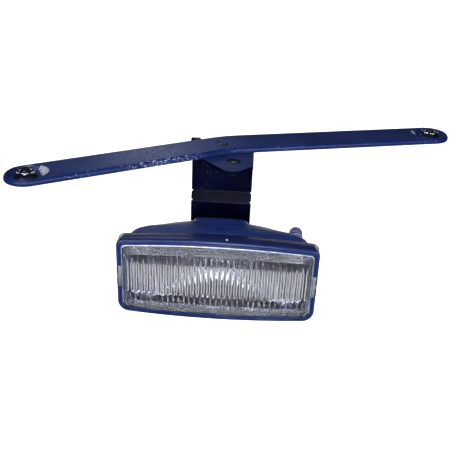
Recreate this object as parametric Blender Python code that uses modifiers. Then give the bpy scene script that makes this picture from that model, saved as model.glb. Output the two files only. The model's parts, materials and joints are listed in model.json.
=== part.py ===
"""Fog light hanging from a bent steel bar.

Frame: +X to the right seen from the lamp's front, +Z up, and the lamp shines towards -Y.
The origin lies on the top face of the bar, over the hanger's drop plate and in the lamp's middle plane.
All sizes below are in millimetres; the builders turn them into metres.
"""

import math

import bmesh
import bpy
from mathutils import Vector

MM = 0.001
GAP = 0.3
WELD = 1e-6

# Steel bar: a strap with turned-down edges, bent in plan
BAR_WIDTH = 33.2
BAR_DEPTH = 5.0
BAR_SHEET = 2.5
BAR_ROUND = 3.0
BEND_POINT = (3.0, -5.0)
BEND_RADIUS = 90.0
LEFT_ANGLE = 31.24
RIGHT_ANGLE = 15.79
LEFT_REACH = 188.8
RIGHT_REACH = 203.9
POCKET_TOP_RADIUS = 13.7
POCKET_FLOOR_RADIUS = 11.2
POCKET_DEPTH = 4.0
POCKET_FLOOR = 2.5
END_BOLT_HOLE = 4.5
BAR_SCREW_AT = (-3.1, -11.3)
SCREW_HOLE = 3.3
SCREW_SINK = 5.7

# Hanger bracket: one bent sheet
SHEET = 3.0
FLANGE_TOP = -5.3
PLATE_LEFT = -29.2
PLATE_RIGHT = 24.4
PLATE_FRONT = 0.9
PLATE_SET_FORWARD = 5.0
JOGGLE_TOP = -49.7
JOGGLE_BOTTOM = -59.0
TONGUE_LEFT = -24.4
TONGUE_RIGHT = 19.6
TONGUE_END = -120.7
LEFT_SHOULDER = -78.1
RIGHT_SHOULDER = -83.0
TANG_LEFT = -30.4
TANG_RIGHT = -22.0
TANG_TOP = -1.2
TAB_LEFT_SHOULDER = -21.3
TAB_RIGHT_SHOULDER = -45.3
TAB_TIP = (7.2, -63.8)
TAB_TIP_RADIUS = 9.5
TAB_SCREW_AT = (8.3, -37.7)

# Lamp, in its own frame: y from the bezel's front, z from the lamp's middle
LAMP_ORIGIN = (0.0, -92.0, -87.2)
BEZEL_HALF_WIDTH = 80.0
BEZEL_HALF_HEIGHT = 32.8
BEZEL_BOW = 3.0
BEZEL_DEPTH = 13.4
BEZEL_WALL = 2.0
TOP_CORNER = 5.5
BOTTOM_CORNER = 9.5
LENS_FRONT = 3.6
LENS_THICKNESS = 3.4
LENS_BULGE = 1.4
HOUSING_WALL = 2.3
TRAY_INSET = 2.4
BOOT_RADIUS = 20.2
NECK_RADIUS = 18.2
NECK_STEPS = 22

# Axes, in the lamp's frame
TILT_AXIS = (-2.4, 68.0, -24.5)
REFLECTOR_AXIS = (0.0, 13.5, -22.0)
AIM_AXIS = (63.0, 45.0, 23.6)
BULB_AXIS = (0.0, 50.0, 0.0)

# Reflector pivots and aim screw
BALL_SPREAD = 62.5
BALL_RADIUS = 2.9
AIM_SCREW_RADIUS = 2.0
SCREW_END = 45.5

COLLECTION_NAME = "fog_light"


# ---------------------------------------------------------------- scene and materials

for old in list(bpy.data.objects):
    bpy.data.objects.remove(old, do_unlink=True)

PARTS = bpy.data.collections.new(COLLECTION_NAME)
CUTTERS = bpy.data.collections.new("cutters")
bpy.context.scene.collection.children.link(PARTS)
bpy.context.scene.collection.children.link(CUTTERS)


def material(name, colour, roughness, metallic=0.0, transmission=0.0):
    made = bpy.data.materials.new(name)
    made.use_nodes = True
    shader = made.node_tree.nodes["Principled BSDF"]
    shader.inputs["Base Color"].default_value = (*colour, 1.0)
    shader.inputs["Roughness"].default_value = roughness
    shader.inputs["Metallic"].default_value = metallic
    shader.inputs["Transmission Weight"].default_value = transmission
    return made


FINISHES = {
    "bar_paint": ((0.010, 0.014, 0.050), 0.32),
    "bracket_paint": ((0.006, 0.008, 0.022), 0.38),
    "black_zinc": ((0.020, 0.020, 0.024), 0.35, 0.8),
    "zinc": ((0.55, 0.56, 0.58), 0.30, 1.0),
    "housing_plastic": ((0.012, 0.018, 0.060), 0.22),
    "bezel_plastic": ((0.010, 0.014, 0.050), 0.18),
    "lens_glass": ((0.95, 0.97, 1.0), 0.02, 0.0, 1.0),
    "seal_rubber": ((0.015, 0.015, 0.016), 0.70),
    "spring_steel": ((0.60, 0.60, 0.62), 0.22, 1.0),
    "mirror_coat": ((0.90, 0.91, 0.93), 0.05, 1.0),
    "knob_plastic": ((0.030, 0.040, 0.110), 0.35),
    "bulb_glass": ((0.98, 0.98, 1.0), 0.01, 0.0, 1.0),
    "tungsten": ((0.35, 0.34, 0.33), 0.40, 1.0),
    "bulb_plastic": ((0.060, 0.055, 0.050), 0.50),
    "tinned_copper": ((0.70, 0.68, 0.62), 0.28, 1.0),
    "nylon": ((0.62, 0.60, 0.55), 0.50),
}


# ---------------------------------------------------------------- builders

def scaled(point):
    return Vector(point) * MM


def lamp_point(point):
    """World place, in millimetres, of a point in the lamp's frame."""
    return tuple(a + b for a, b in zip(LAMP_ORIGIN, point))


def empty(name, place, parent=None):
    made = bpy.data.objects.new(name, None)
    made.empty_display_size = 0.01
    PARTS.objects.link(made)
    made["place"] = list(place)
    offset = parent["place"] if parent else (0.0, 0.0, 0.0)
    made.parent = parent
    made.location = scaled([a - b for a, b in zip(place, offset)])
    return made


def add(made, place=(0.0, 0.0, 0.0), turn=(0.0, 0.0, 0.0), parent=None, finish=None):
    """Put a piece in the parts collection, or a cutter (no finish) in the cutters' one."""
    offset = parent["place"] if parent else (0.0, 0.0, 0.0)
    made.parent = parent
    made.location = scaled([a - b for a, b in zip(place, offset)])
    made.rotation_euler = [math.radians(a) for a in turn]
    if finish:
        PARTS.objects.link(made)
        made.data.materials.clear()
        made.data.materials.append(material(made.name, *FINISHES[finish]))
        made.data.shade_smooth()
        made.data.set_sharp_from_angle(angle=math.radians(32))
    else:
        CUTTERS.objects.link(made)
        made.hide_render = True
        made.display_type = "WIRE"
    return made


def mesh_object(name, bm):
    bmesh.ops.recalc_face_normals(bm, faces=bm.faces)
    mesh = bpy.data.meshes.new(name)
    bm.to_mesh(mesh)
    bm.free()
    return bpy.data.objects.new(name, mesh)


def loft(name, rings):
    """A closed skin through rings that have the same number of points."""
    bm = bmesh.new()
    rows = [[bm.verts.new(scaled(p)) for p in ring] for ring in rings]
    count = len(rows[0])
    for low, high in zip(rows, rows[1:]):
        for i in range(count):
            j = (i + 1) % count
            bm.faces.new((low[i], low[j], high[j], high[i]))
    bm.faces.new(rows[0])
    bm.faces.new(rows[-1])
    return mesh_object(name, bm)


def plate(name, outline, thickness):
    """A flat outline in the local XY plane, thick by the same amount up and down."""
    curve = bpy.data.curves.new(name, "CURVE")
    curve.dimensions = "2D"
    curve.fill_mode = "BOTH"
    curve.extrude = thickness * MM / 2
    spline = curve.splines.new("POLY")
    spline.points.add(len(outline) - 1)
    for point, (x, y) in zip(spline.points, outline):
        point.co = (x * MM, y * MM, 0.0, 1.0)
    spline.use_cyclic_u = True
    return solid_from_curve(name, curve)


def tube(name, path, radius, sides=2):
    """A round wire along a list of points."""
    curve = bpy.data.curves.new(name, "CURVE")
    curve.dimensions = "3D"
    curve.bevel_depth = radius * MM
    curve.bevel_resolution = sides
    curve.use_fill_caps = True
    spline = curve.splines.new("POLY")
    spline.points.add(len(path) - 1)
    for point, place in zip(spline.points, path):
        point.co = (*scaled(place), 1.0)
    return solid_from_curve(name, curve)


def solid_from_curve(name, curve):
    holder = bpy.data.objects.new(name + "_curve", curve)
    bpy.context.scene.collection.objects.link(holder)
    bpy.context.view_layer.update()
    evaluated = holder.evaluated_get(bpy.context.evaluated_depsgraph_get())
    mesh = bpy.data.meshes.new_from_object(evaluated)
    bpy.data.objects.remove(holder, do_unlink=True)
    bm = bmesh.new()
    bm.from_mesh(mesh)
    bmesh.ops.remove_doubles(bm, verts=bm.verts, dist=WELD)
    bpy.data.meshes.remove(mesh)
    return mesh_object(name, bm)


def turned(name, profile, steps=16, closed=False):
    """A profile of (radius, height) points, top to bottom on its outer side, turned about local Z."""
    mesh = bpy.data.meshes.new(name)
    points = [(r * MM, 0.0, h * MM) for r, h in profile]
    edges = [(i, i + 1) for i in range(len(points) - 1)]
    if closed:
        edges.append((len(points) - 1, 0))
    mesh.from_pydata(points, edges, [])
    made = bpy.data.objects.new(name, mesh)
    screw = made.modifiers.new("turn", "SCREW")
    screw.steps = steps
    screw.render_steps = steps
    screw.use_merge_vertices = True
    screw.merge_threshold = WELD
    screw.use_smooth_shade = True
    return made


def ring(name, inner, outer, bottom, top, steps=16):
    return turned(name, [(inner, top), (outer, top), (outer, bottom), (inner, bottom)], steps, closed=True)


def rod(name, radius, bottom, top, steps=14):
    return turned(name, [(0, top), (radius, top), (radius, bottom), (0, bottom)], steps)


def hexagon(name, across_flats, bottom, top):
    bm = bmesh.new()
    radius = across_flats / math.sqrt(3) * MM
    bmesh.ops.create_cone(bm, cap_ends=True, segments=6, radius1=radius, radius2=radius,
                          depth=(top - bottom) * MM)
    bmesh.ops.translate(bm, verts=bm.verts, vec=(0, 0, (top + bottom) / 2 * MM))
    return mesh_object(name, bm)


def box(name, low, high):
    bm = bmesh.new()
    bmesh.ops.create_cube(bm, size=1.0)
    size = scaled([b - a for a, b in zip(low, high)])
    middle = scaled([(a + b) / 2 for a, b in zip(low, high)])
    bmesh.ops.scale(bm, verts=bm.verts, vec=size)
    bmesh.ops.translate(bm, verts=bm.verts, vec=middle)
    return mesh_object(name, bm)


def combine(piece, tool, operation):
    step = piece.modifiers.new(operation.lower(), "BOOLEAN")
    step.operation = operation
    step.solver = "EXACT"
    step.object = tool
    return piece


def cut(piece, tool):
    return combine(piece, tool, "DIFFERENCE")


def join(piece, tool):
    return combine(piece, tool, "UNION")


def arc(centre, radius, start, end, steps):
    """Points of an arc, angles in degrees."""
    angles = [math.radians(start + (end - start) * k / steps) for k in range(steps + 1)]
    return [(centre[0] + radius * math.cos(a), centre[1] + radius * math.sin(a)) for a in angles]


def round_outline(corners, radii, steps=4):
    """A closed outline whose corners are rounded, each by its own radius."""
    points = []
    count = len(corners)
    for i, (corner, radius) in enumerate(zip(corners, radii)):
        here = Vector(corner)
        back = (Vector(corners[i - 1]) - here).normalized()
        ahead = (Vector(corners[(i + 1) % count]) - here).normalized()
        if radius <= 0:
            points.append(tuple(here))
            continue
        half = back.angle(ahead) / 2
        centre = here + (back + ahead).normalized() * radius / math.sin(half)
        first = here + back * radius / math.tan(half) - centre
        last = here + ahead * radius / math.tan(half) - centre
        swing = first.angle_signed(last)
        for k in range(steps + 1):
            turn = -swing * k / steps
            c, s = math.cos(turn), math.sin(turn)
            points.append((centre.x + first.x * c - first.y * s, centre.y + first.x * s + first.y * c))
    return points


def strip_outline(path, radii, thickness, steps=4):
    """Outline of a bent sheet whose middle line is a path with rounded corners."""
    middle = [Vector(path[0])]
    for i in range(1, len(path) - 1):
        middle += [Vector(p) for p in round_outline(path[i - 1:i + 2], (0, radii[i - 1], 0), steps)[1:-1]]
    middle.append(Vector(path[-1]))
    left, right = [], []
    for i, here in enumerate(middle):
        before = middle[max(i - 1, 0)]
        after = middle[min(i + 1, len(middle) - 1)]
        run_in = (here - before).normalized() if i else (after - here).normalized()
        run_out = (after - here).normalized() if i < len(middle) - 1 else run_in
        along = (run_in + run_out).normalized()
        side = Vector((-along.y, along.x)) * thickness / 2 / max(along.dot(run_in), 0.5)
        left.append(tuple(here + side))
        right.append(tuple(here - side))
    return left + right[::-1]


# ---------------------------------------------------------------- mounting bar

def arm_direction(angle, sign):
    a = math.radians(angle)
    return Vector((math.cos(a), math.sin(a))) * sign


LEFT_ARM = arm_direction(LEFT_ANGLE, -1)
RIGHT_ARM = arm_direction(RIGHT_ANGLE, 1)
LEFT_END = Vector(BEND_POINT) + LEFT_ARM * (LEFT_REACH - BAR_WIDTH / 2)
RIGHT_END = Vector(BEND_POINT) + RIGHT_ARM * (RIGHT_REACH - BAR_WIDTH / 2)


def bar_outline(inset, end_steps=9, bend_steps=4):
    """The bar's outline in plan, drawn in by an inset."""
    half = BAR_WIDTH / 2 - inset
    tangent = BEND_RADIUS * math.tan(math.radians(LEFT_ANGLE - RIGHT_ANGLE) / 2)
    start = Vector(BEND_POINT) + LEFT_ARM * tangent
    normal = Vector((-math.sin(math.radians(LEFT_ANGLE)), math.cos(math.radians(LEFT_ANGLE))))
    centre = start - normal * BEND_RADIUS
    front = arc(centre, BEND_RADIUS - half, 90 + LEFT_ANGLE, 90 + RIGHT_ANGLE, bend_steps)
    back = arc(centre, BEND_RADIUS + half, 90 + RIGHT_ANGLE, 90 + LEFT_ANGLE, bend_steps)
    right = arc(RIGHT_END, half, RIGHT_ANGLE - 90, RIGHT_ANGLE + 90, end_steps)
    left = arc(LEFT_END, half, LEFT_ANGLE + 90, LEFT_ANGLE + 270, end_steps)
    return front + right + back + left


def bar_ring(inset, height):
    return [(x, y, height) for x, y in bar_outline(inset)]


def mounting_bar():
    rings = [bar_ring(0, -BAR_DEPTH)]
    for k in range(4):
        a = math.radians(30 * k)
        rings.append(bar_ring(BAR_ROUND * (1 - math.cos(a)), -BAR_ROUND + BAR_ROUND * math.sin(a)))
    bar = add(loft("mounting_bar", rings), finish="bar_paint")
    hollow = add(loft("bar_hollow", [bar_ring(BAR_SHEET, -BAR_DEPTH - 3), bar_ring(BAR_SHEET, -BAR_SHEET)]))
    cut(bar, hollow)
    floor = -POCKET_DEPTH - POCKET_FLOOR
    for side, end in (("left", LEFT_END), ("right", RIGHT_END)):
        place = (end.x, end.y, 0)
        cup = [(0, -0.6), (POCKET_TOP_RADIUS + 0.4, -0.6), (POCKET_FLOOR_RADIUS + 1.6, floor), (0, floor)]
        join(bar, add(turned(f"{side}_pocket_cup", cup, 20), place))
        slope = (POCKET_TOP_RADIUS - POCKET_FLOOR_RADIUS) / POCKET_DEPTH
        hollow = [(0, 2), (POCKET_TOP_RADIUS + 2 * slope, 2), (POCKET_FLOOR_RADIUS, -POCKET_DEPTH),
                  (0, -POCKET_DEPTH)]
        cut(bar, add(turned(f"{side}_pocket_hollow", hollow, 20), place))
        cut(bar, add(rod(f"{side}_bolt_hole", END_BOLT_HOLE, floor - 2, 0), place))
    place = (*BAR_SCREW_AT, 0)
    boss = [(0, -0.6), (SCREW_SINK + 2.2, -0.6), (SCREW_HOLE + 2.2, -BAR_DEPTH), (0, -BAR_DEPTH)]
    join(bar, add(turned("bar_screw_boss", boss), place))
    sink = [(0, 1), (SCREW_SINK + 1, 1), (SCREW_HOLE, -(SCREW_SINK - SCREW_HOLE)),
            (SCREW_HOLE, -BAR_DEPTH - 2), (0, -BAR_DEPTH - 2)]
    cut(bar, add(turned("bar_screw_sink", sink), place))
    return bar


def end_fasteners(side, end):
    place = (end.x, end.y, 0)
    seat = -POCKET_DEPTH - POCKET_FLOOR - GAP
    bolt = [(0, 2.4), (3.4, 2.4), (4.0, 1.8), (4.0, seat), (8.0, seat), (8.0, seat - 1.0), (6.4, seat - 2.2),
            (0, seat - 2.2)]
    add(turned(f"end_bolt_{side}", bolt), place, finish="black_zinc")
    low = -POCKET_DEPTH + GAP
    flange = [(4.0 + GAP, low + 3.0), (6.0, low + 3.0), (8.8, low + 1.0), (8.8, low), (4.0 + GAP, low)]
    nut = add(turned(f"end_nut_{side}", flange, closed=True), place, (0, 0, 12), finish="black_zinc")
    body = add(hexagon(f"end_nut_{side}_hexagon", 13.0, low + 0.5, low + 5.2), place, (0, 0, 12))
    bore = add(rod(f"end_nut_{side}_bore", 4.0 + GAP, low - 1, low + 7), place, (0, 0, 12))
    cut(body, bore)
    join(nut, body)


def sunk_screw(name, place, top, length):
    """A countersunk screw with a hexagon socket, seated just under a face at height top."""
    cone = SCREW_SINK - SCREW_HOLE
    head = SCREW_SINK - 0.7
    profile = [(0, -0.4), (head, -0.4), (3.0, -0.4 - (head - 3.0)), (3.0, -length), (0, -length)]
    screw = add(turned(name, profile), (place[0], place[1], top), finish="black_zinc")
    socket = add(hexagon(name + "_socket", 4.0, -0.4 - cone * 0.8, 1.0), (place[0], place[1], top))
    return cut(screw, socket)


def under_nut(name, place, top):
    nut = add(ring(name, 3.0 + GAP, 6.6, -1.4, 0), (*place, top), finish="black_zinc")
    body = add(hexagon(name + "_hexagon", 10.0, -6.0, -0.7), (*place, top))
    cut(body, add(rod(name + "_bore", 3.0 + GAP, -8, 1), (*place, top)))
    return join(nut, body)


# ---------------------------------------------------------------- hanger bracket

TO_SIDE_VIEW = (90, 0, 90)
TO_FRONT_VIEW = (90, 0, 0)


def hanger_bracket():
    middle_y = PLATE_FRONT + SHEET / 2
    flange_z = FLANGE_TOP - SHEET / 2
    path = [(-70, flange_z), (middle_y, flange_z), (middle_y, JOGGLE_TOP),
            (middle_y - PLATE_SET_FORWARD, JOGGLE_BOTTOM), (middle_y - PLATE_SET_FORWARD, TONGUE_END)]
    outline = strip_outline(path, (4.5, 3.0, 3.0), SHEET)
    width = PLATE_RIGHT - PLATE_LEFT
    place = ((PLATE_LEFT + PLATE_RIGHT) / 2, 0, 0)
    bracket = add(plate("hanger_bracket", outline, width), place, TO_SIDE_VIEW, finish="bracket_paint")
    # plan outline with the pointed tab
    left, right = PLATE_LEFT - 0.4, PLATE_RIGHT + 0.4
    corners = [(right, 8), (left, 8), (left, TAB_LEFT_SHOULDER), TAB_TIP, (right - 0.4, TAB_RIGHT_SHOULDER),
               (right, -43.0)]
    keep = round_outline(corners, (0, 0, 6, TAB_TIP_RADIUS, 1.5, 0), 8)
    combine(bracket, add(plate("bracket_plan", keep, 300)), "INTERSECT")
    # narrower tongue behind the lamp
    for name, edge, outside, shoulder in (("left", TONGUE_LEFT, -40, LEFT_SHOULDER),
                                          ("right", TONGUE_RIGHT, 35, RIGHT_SHOULDER)):
        shape = [(edge, shoulder), (edge, -130), (outside, -130), (outside, shoulder)]
        cut(bracket, add(plate(f"{name}_shoulder", shape, 40), turn=TO_FRONT_VIEW))
    # relief notches at the joggle's bends
    for level in (JOGGLE_TOP - 0.6, JOGGLE_BOTTOM + 1.2):
        for edge in (PLATE_LEFT, PLATE_RIGHT):
            shape = rod(f"relief_{level:.0f}_{edge:.0f}", 1.3, -12, 12, 12)
            cut(bracket, add(shape, (edge, 0, level), (90, 0, 0)))
    # window for the bulb's plug
    corners = [(-18, -99), (13, -99), (13, -79), (-18, -79)]
    window = round_outline(corners, (5, 5, 5, 5))
    cut(bracket, add(plate("plug_window", window, 40), turn=TO_FRONT_VIEW))
    # tang that keeps the bar from turning
    tang = [(TANG_LEFT, -9.0), (TANG_RIGHT, -9.0), (TANG_RIGHT, TANG_TOP - 0.6), (TANG_RIGHT - 0.7, TANG_TOP),
            (TANG_LEFT + 0.7, TANG_TOP), (TANG_LEFT, TANG_TOP - 0.6)]
    join(bracket, add(plate("bar_tang", tang, SHEET - 0.02), (0, middle_y, 0), TO_FRONT_VIEW))
    # ears that carry the lamp
    axis = lamp_point(TILT_AXIS)
    back = middle_y - PLATE_SET_FORWARD + 0.5
    ear = [(back, axis[2] + 9), (back, axis[2] - 9)]
    ear += arc((axis[1], axis[2]), 9, 270, 90, 10)
    for side, edge in (("left", TONGUE_LEFT + SHEET / 2), ("right", TONGUE_RIGHT - SHEET / 2)):
        join(bracket, add(plate(f"{side}_ear", ear[::-1], SHEET - 0.02), (edge, 0, 0), TO_SIDE_VIEW))
    cut(bracket, add(rod("ear_holes", SCREW_HOLE, -40, 40), axis, (0, 90, 0)))
    for name, at in (("bar_screw", BAR_SCREW_AT), ("tab_screw", TAB_SCREW_AT)):
        cut(bracket, add(rod(f"flange_{name}_hole", SCREW_HOLE, -12, -2), (*at, 0)))
    sink = [(0, 1), (SCREW_SINK + 1, 1), (SCREW_HOLE, -(SCREW_SINK - SCREW_HOLE)), (0, -2.4)]
    cut(bracket, add(turned("tab_screw_sink", sink), (*TAB_SCREW_AT, FLANGE_TOP)))
    return bracket


def pivot_fasteners(side, sign, lamp):
    """Bolt from outside through an ear and a friction washer into a nut sunk in the lamp's lug."""
    axis = lamp_point(TILT_AXIS)
    ear_face = (TONGUE_RIGHT if sign > 0 else TONGUE_LEFT)
    turn = (0, 90 * sign, 0)
    place = (ear_face, axis[1], axis[2])
    shank = [(0, -11.5), (3.0, -11.5), (3.0, GAP), (7.0, GAP), (7.0, 1.6), (0, 1.6)]
    bolt = add(turned(f"pivot_bolt_{side}", shank[::-1]), place, turn, finish="black_zinc")
    join(bolt, add(hexagon(f"pivot_bolt_{side}_head", 10.0, 1.0, 5.4), place, turn))
    washer = ring(f"pivot_washer_{side}", 3.0 + GAP, 7.5, -SHEET - GAP - 1.2, -SHEET - GAP)
    add(washer, place, turn, parent=lamp, finish="nylon")
    low = -SHEET - GAP - 1.2 - GAP - 7.0 + GAP
    nut = add(hexagon(f"pivot_nut_{side}", 10.0, low, low + 3.8), place, turn, parent=lamp, finish="zinc")
    cut(nut, add(rod(f"pivot_nut_{side}_bore", 3.0 + GAP, low - 2, low + 8), place, turn, parent=lamp))


# ---------------------------------------------------------------- lamp shells

def lamp_ring(half_width, half_height, bow, top_corner, bottom_corner, depth, edge=6, corner=4):
    """Outline of the lamp seen from its front: bowed top and bottom, rounded corners."""
    points = []
    reach = half_width - top_corner
    for k in range(edge + 1):
        x = -reach + 2 * reach * k / edge
        points.append((x, half_height + bow * (1 - (x / reach) ** 2)))
    points += arc((reach, half_height - top_corner), top_corner, 90, 0, corner)[1:]
    reach = half_width - bottom_corner
    points += arc((reach, bottom_corner - half_height), bottom_corner, 0, -90, corner)
    for k in range(1, edge + 1):
        x = reach - 2 * reach * k / edge
        points.append((x, -half_height - bow * (1 - (x / reach) ** 2)))
    points += arc((-reach, bottom_corner - half_height), bottom_corner, 270, 180, corner)[1:]
    reach = half_width - top_corner
    points += arc((-reach, half_height - top_corner), top_corner, 180, 90, corner)[:-1]
    return [(x, depth, z) for x, z in points]


def bezel_ring(inset, depth):
    return lamp_ring(BEZEL_HALF_WIDTH - inset, BEZEL_HALF_HEIGHT - inset, BEZEL_BOW,
                     max(TOP_CORNER - inset, 1.0), max(BOTTOM_CORNER - inset, 1.0), depth)


def aperture_ring(grow, depth):
    """The lens opening: its top edge lies lower than the bezel's."""
    points = []
    top_corner, bottom_corner = max(3.0 + grow, 1.0), max(6.5 + grow, 1.5)
    for x, y, z in lamp_ring(75.2 + grow, 29.6 + grow, 2.6, top_corner, bottom_corner, depth):
        points.append((x, y, z - 2.3))
    return points


def front_bezel(lamp):
    rings = [bezel_ring(1.2, 0), bezel_ring(0.35, 0.35), bezel_ring(0, 1.2), bezel_ring(0, BEZEL_DEPTH)]
    bezel = add(loft("front_bezel", rings), LAMP_ORIGIN, parent=lamp, finish="bezel_plastic")
    recess = [bezel_ring(2.0, -2), bezel_ring(2.0, 1.5)]
    cut(bezel, add(loft("bezel_front_recess", recess), LAMP_ORIGIN, parent=lamp))
    inside = [bezel_ring(BEZEL_WALL, LENS_FRONT - 0.3), bezel_ring(BEZEL_WALL, 20)]
    cut(bezel, add(loft("bezel_inside", inside), LAMP_ORIGIN, parent=lamp))
    opening = [aperture_ring(0, -2), aperture_ring(0, 20)]
    cut(bezel, add(loft("bezel_opening", opening), LAMP_ORIGIN, parent=lamp))
    for side in (-1, 1):
        slot = box(f"clip_slot_{side}", (side * 80 - 3, -2, -10.2), (side * 80 + 3, 20, 10.2))
        cut(bezel, add(slot, LAMP_ORIGIN, parent=lamp))
    return bezel


def lens(lamp):
    """Glass plate inside the bezel, its middle bulging forward through the opening."""
    back = LENS_FRONT + LENS_THICKNESS
    rings = [aperture_ring(-14, LENS_FRONT - LENS_BULGE), aperture_ring(-6, LENS_FRONT - LENS_BULGE * 0.75),
             aperture_ring(-1.0, LENS_FRONT), bezel_ring(BEZEL_WALL + 0.9, LENS_FRONT + 0.1),
             bezel_ring(BEZEL_WALL + 0.5, LENS_FRONT + 0.5), bezel_ring(BEZEL_WALL + 0.5, back)]
    return add(loft("lens", rings), LAMP_ORIGIN, parent=lamp, finish="lens_glass")


def lens_seal(lamp):
    start = LENS_FRONT + LENS_THICKNESS + GAP
    seal = loft("lens_seal", [bezel_ring(BEZEL_WALL + 0.5, start), bezel_ring(BEZEL_WALL + 0.5, start + 1.2)])
    add(seal, LAMP_ORIGIN, parent=lamp, finish="seal_rubber")
    hole = [bezel_ring(BEZEL_WALL + 2.9, start - 2), bezel_ring(BEZEL_WALL + 2.9, start + 4)]
    return cut(seal, add(loft("seal_hole", hole), LAMP_ORIGIN, parent=lamp))


# Housing body behind the bezel: depth, half width, half height, bow, corner radius
HOUSING_SECTIONS = (
    (13.7, 73.0, 32.4, 2.6, 8.0),
    (19.0, 72.8, 32.6, 2.4, 8.0),
    (25.0, 71.0, 32.5, 2.0, 8.5),
    (30.0, 66.0, 32.3, 1.8, 10.0),
    (34.3, 56.8, 32.0, 1.6, 12.0),
    (40.0, 48.0, 31.6, 1.2, 13.0),
    (44.5, 38.0, 31.0, 1.0, 14.0),
    (47.0, 28.0, 28.0, 0.8, 12.0),
)


def housing_rings(inset, front, back_shift):
    start = LENS_FRONT + LENS_THICKNESS + 2 * GAP + 1.2
    tray = TRAY_INSET + inset
    rings = [bezel_ring(tray, start if front is None else front), bezel_ring(tray, BEZEL_DEPTH + back_shift)]
    for depth, width, height, bow, corner in HOUSING_SECTIONS:
        radius = max(corner - inset, 2.0)
        rings.append(lamp_ring(width - inset, height - inset, bow, radius, radius, depth + back_shift))
    return rings


def rear_housing(lamp):
    housing = add(loft("rear_housing", housing_rings(0, None, 0)), LAMP_ORIGIN, parent=lamp,
                  finish="housing_plastic")
    # chamber over the bulb, at the middle of the back
    sections = ((25.5, 31.6, 0.8, 7, 30.0), (25.0, 32.4, 0.8, 6, 42.0), (24.0, 32.6, 0.6, 6, 48.0),
                (22.5, 31.4, 0.4, 6, 50.6), (18.5, 28.0, 0.2, 6, 52.6))
    chamber = [lamp_ring(w, h, bow, r, r, depth, 3) for w, h, bow, r, depth in sections]
    join(housing, add(loft("bulb_chamber", chamber), LAMP_ORIGIN, parent=lamp))
    neck = add(rod("housing_neck", NECK_RADIUS, 40, 60, NECK_STEPS), LAMP_ORIGIN, (-90, 0, 0), parent=lamp)
    join(housing, neck)
    # lugs for the pivot
    _, y, z = TILT_AXIS
    lug = [(36, z + 7.5), (36, z - 7.5)] + arc((y, z), 7.5, -90, 90, 10)
    thickness = 7.0
    inner = SHEET + GAP + 1.2 + GAP + thickness / 2
    for side, x in (("left", TONGUE_LEFT + inner), ("right", TONGUE_RIGHT - inner)):
        place = (x, LAMP_ORIGIN[1], LAMP_ORIGIN[2])
        shape = add(plate(f"{side}_lug", lug, thickness), place, TO_SIDE_VIEW, parent=lamp)
        room = rod(f"{side}_lug_boot_room", BOOT_RADIUS + 0.6, 53.0, 63.2, NECK_STEPS)
        cut(shape, add(room, LAMP_ORIGIN, (-90, 0, 0), parent=lamp))
        join(housing, shape)
    boss = add(rod("aim_boss", 6.0, 15, 34.1), lamp_point((AIM_AXIS[0], 0, AIM_AXIS[2])), (-90, 0, 0),
               parent=lamp)
    join(housing, boss)
    # inside, drawn in by the wall
    cut(housing, add(loft("housing_inside", housing_rings(HOUSING_WALL, 0, -HOUSING_WALL)), LAMP_ORIGIN,
                     parent=lamp))
    sections = ((23.2, 29.3, 0.8, 25.0), (22.7, 30.1, 0.8, 41.0), (21.7, 30.3, 0.6, 46.0),
                (20.2, 29.0, 0.4, 48.4))
    hollow = [lamp_ring(w, h, bow, 4.5, 4.5, depth, 3) for w, h, bow, depth in sections]
    cut(housing, add(loft("chamber_inside", hollow), LAMP_ORIGIN, parent=lamp))
    cut(housing, add(rod("neck_bore", NECK_RADIUS - 2.0, 20, 66, NECK_STEPS), LAMP_ORIGIN, (-90, 0, 0), parent=lamp))
    bore = rod("aim_bore", 4.6, 10, 40)
    cut(housing, add(bore, lamp_point((AIM_AXIS[0], 0, AIM_AXIS[2])), (-90, 0, 0), parent=lamp))
    # pivot bolt holes and nut pockets
    axis = lamp_point(TILT_AXIS)
    cut(housing, add(rod("lug_holes", SCREW_HOLE, -40, 40), axis, (0, 90, 0), parent=lamp))
    reach = inner + thickness / 2
    for side, sign, face in (("left", -1, TONGUE_LEFT), ("right", 1, TONGUE_RIGHT)):
        pocket = hexagon(f"{side}_nut_pocket", 10.7, -reach - 3, -reach + 4.4)
        cut(housing, add(pocket, (face, axis[1], axis[2]), (0, 90 * sign, 0), parent=lamp))
    # moulded ball studs that the reflector turns on
    for side in (-1, 1):
        place = lamp_point((side * BALL_SPREAD, 0, REFLECTOR_AXIS[2]))
        middle = REFLECTOR_AXIS[1]
        ball = [(0, 29.0), (2.4, 29.0), (1.9, middle + 2.2)]
        ball += [(r, middle + h) for r, h in arc((0, 0), BALL_RADIUS, 35, -90, 6)]
        join(housing, add(turned(f"ball_stud_{side}", ball, 16), place, (-90, 0, 0), parent=lamp))
    # vent hole at the back
    vent = rod("vent_hole", 2.6, 20, 60)
    cut(housing, add(vent, lamp_point((-36, 0, 12)), (-90, 0, 0), parent=lamp))
    return housing


def lens_clip(side, sign, lamp):
    """Spring clip over the bezel's short side, hooked round its front and its back edge."""
    out = BEZEL_HALF_WIDTH
    path = [(out - 3.6, 0.9), (out - 0.2, 0.9), (out - 0.2, 14.4), (out - 3.0, 14.4)]
    outline = strip_outline([(x * sign, y) for x, y in path], (0.8, 0.8), 0.8, 3)
    clip = plate(f"lens_clip_{side}", outline if sign > 0 else outline[::-1], 19.0)
    return add(clip, LAMP_ORIGIN, parent=lamp, finish="spring_steel")


def vent_cap(lamp):
    profile = [(0, 8.5), (3.6, 8.5), (4.6, 7.5), (4.6, 2.0), (0, 2.0)]
    cap = add(turned("vent_cap", profile), lamp_point((-36, 45.0, 12)), (-90, 0, 0), parent=lamp,
              finish="seal_rubber")
    return join(cap, add(rod("vent_stem", 2.3, -3.5, 3.0), lamp_point((-36, 45.0, 12)), (-90, 0, 0),
                         parent=lamp))


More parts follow.
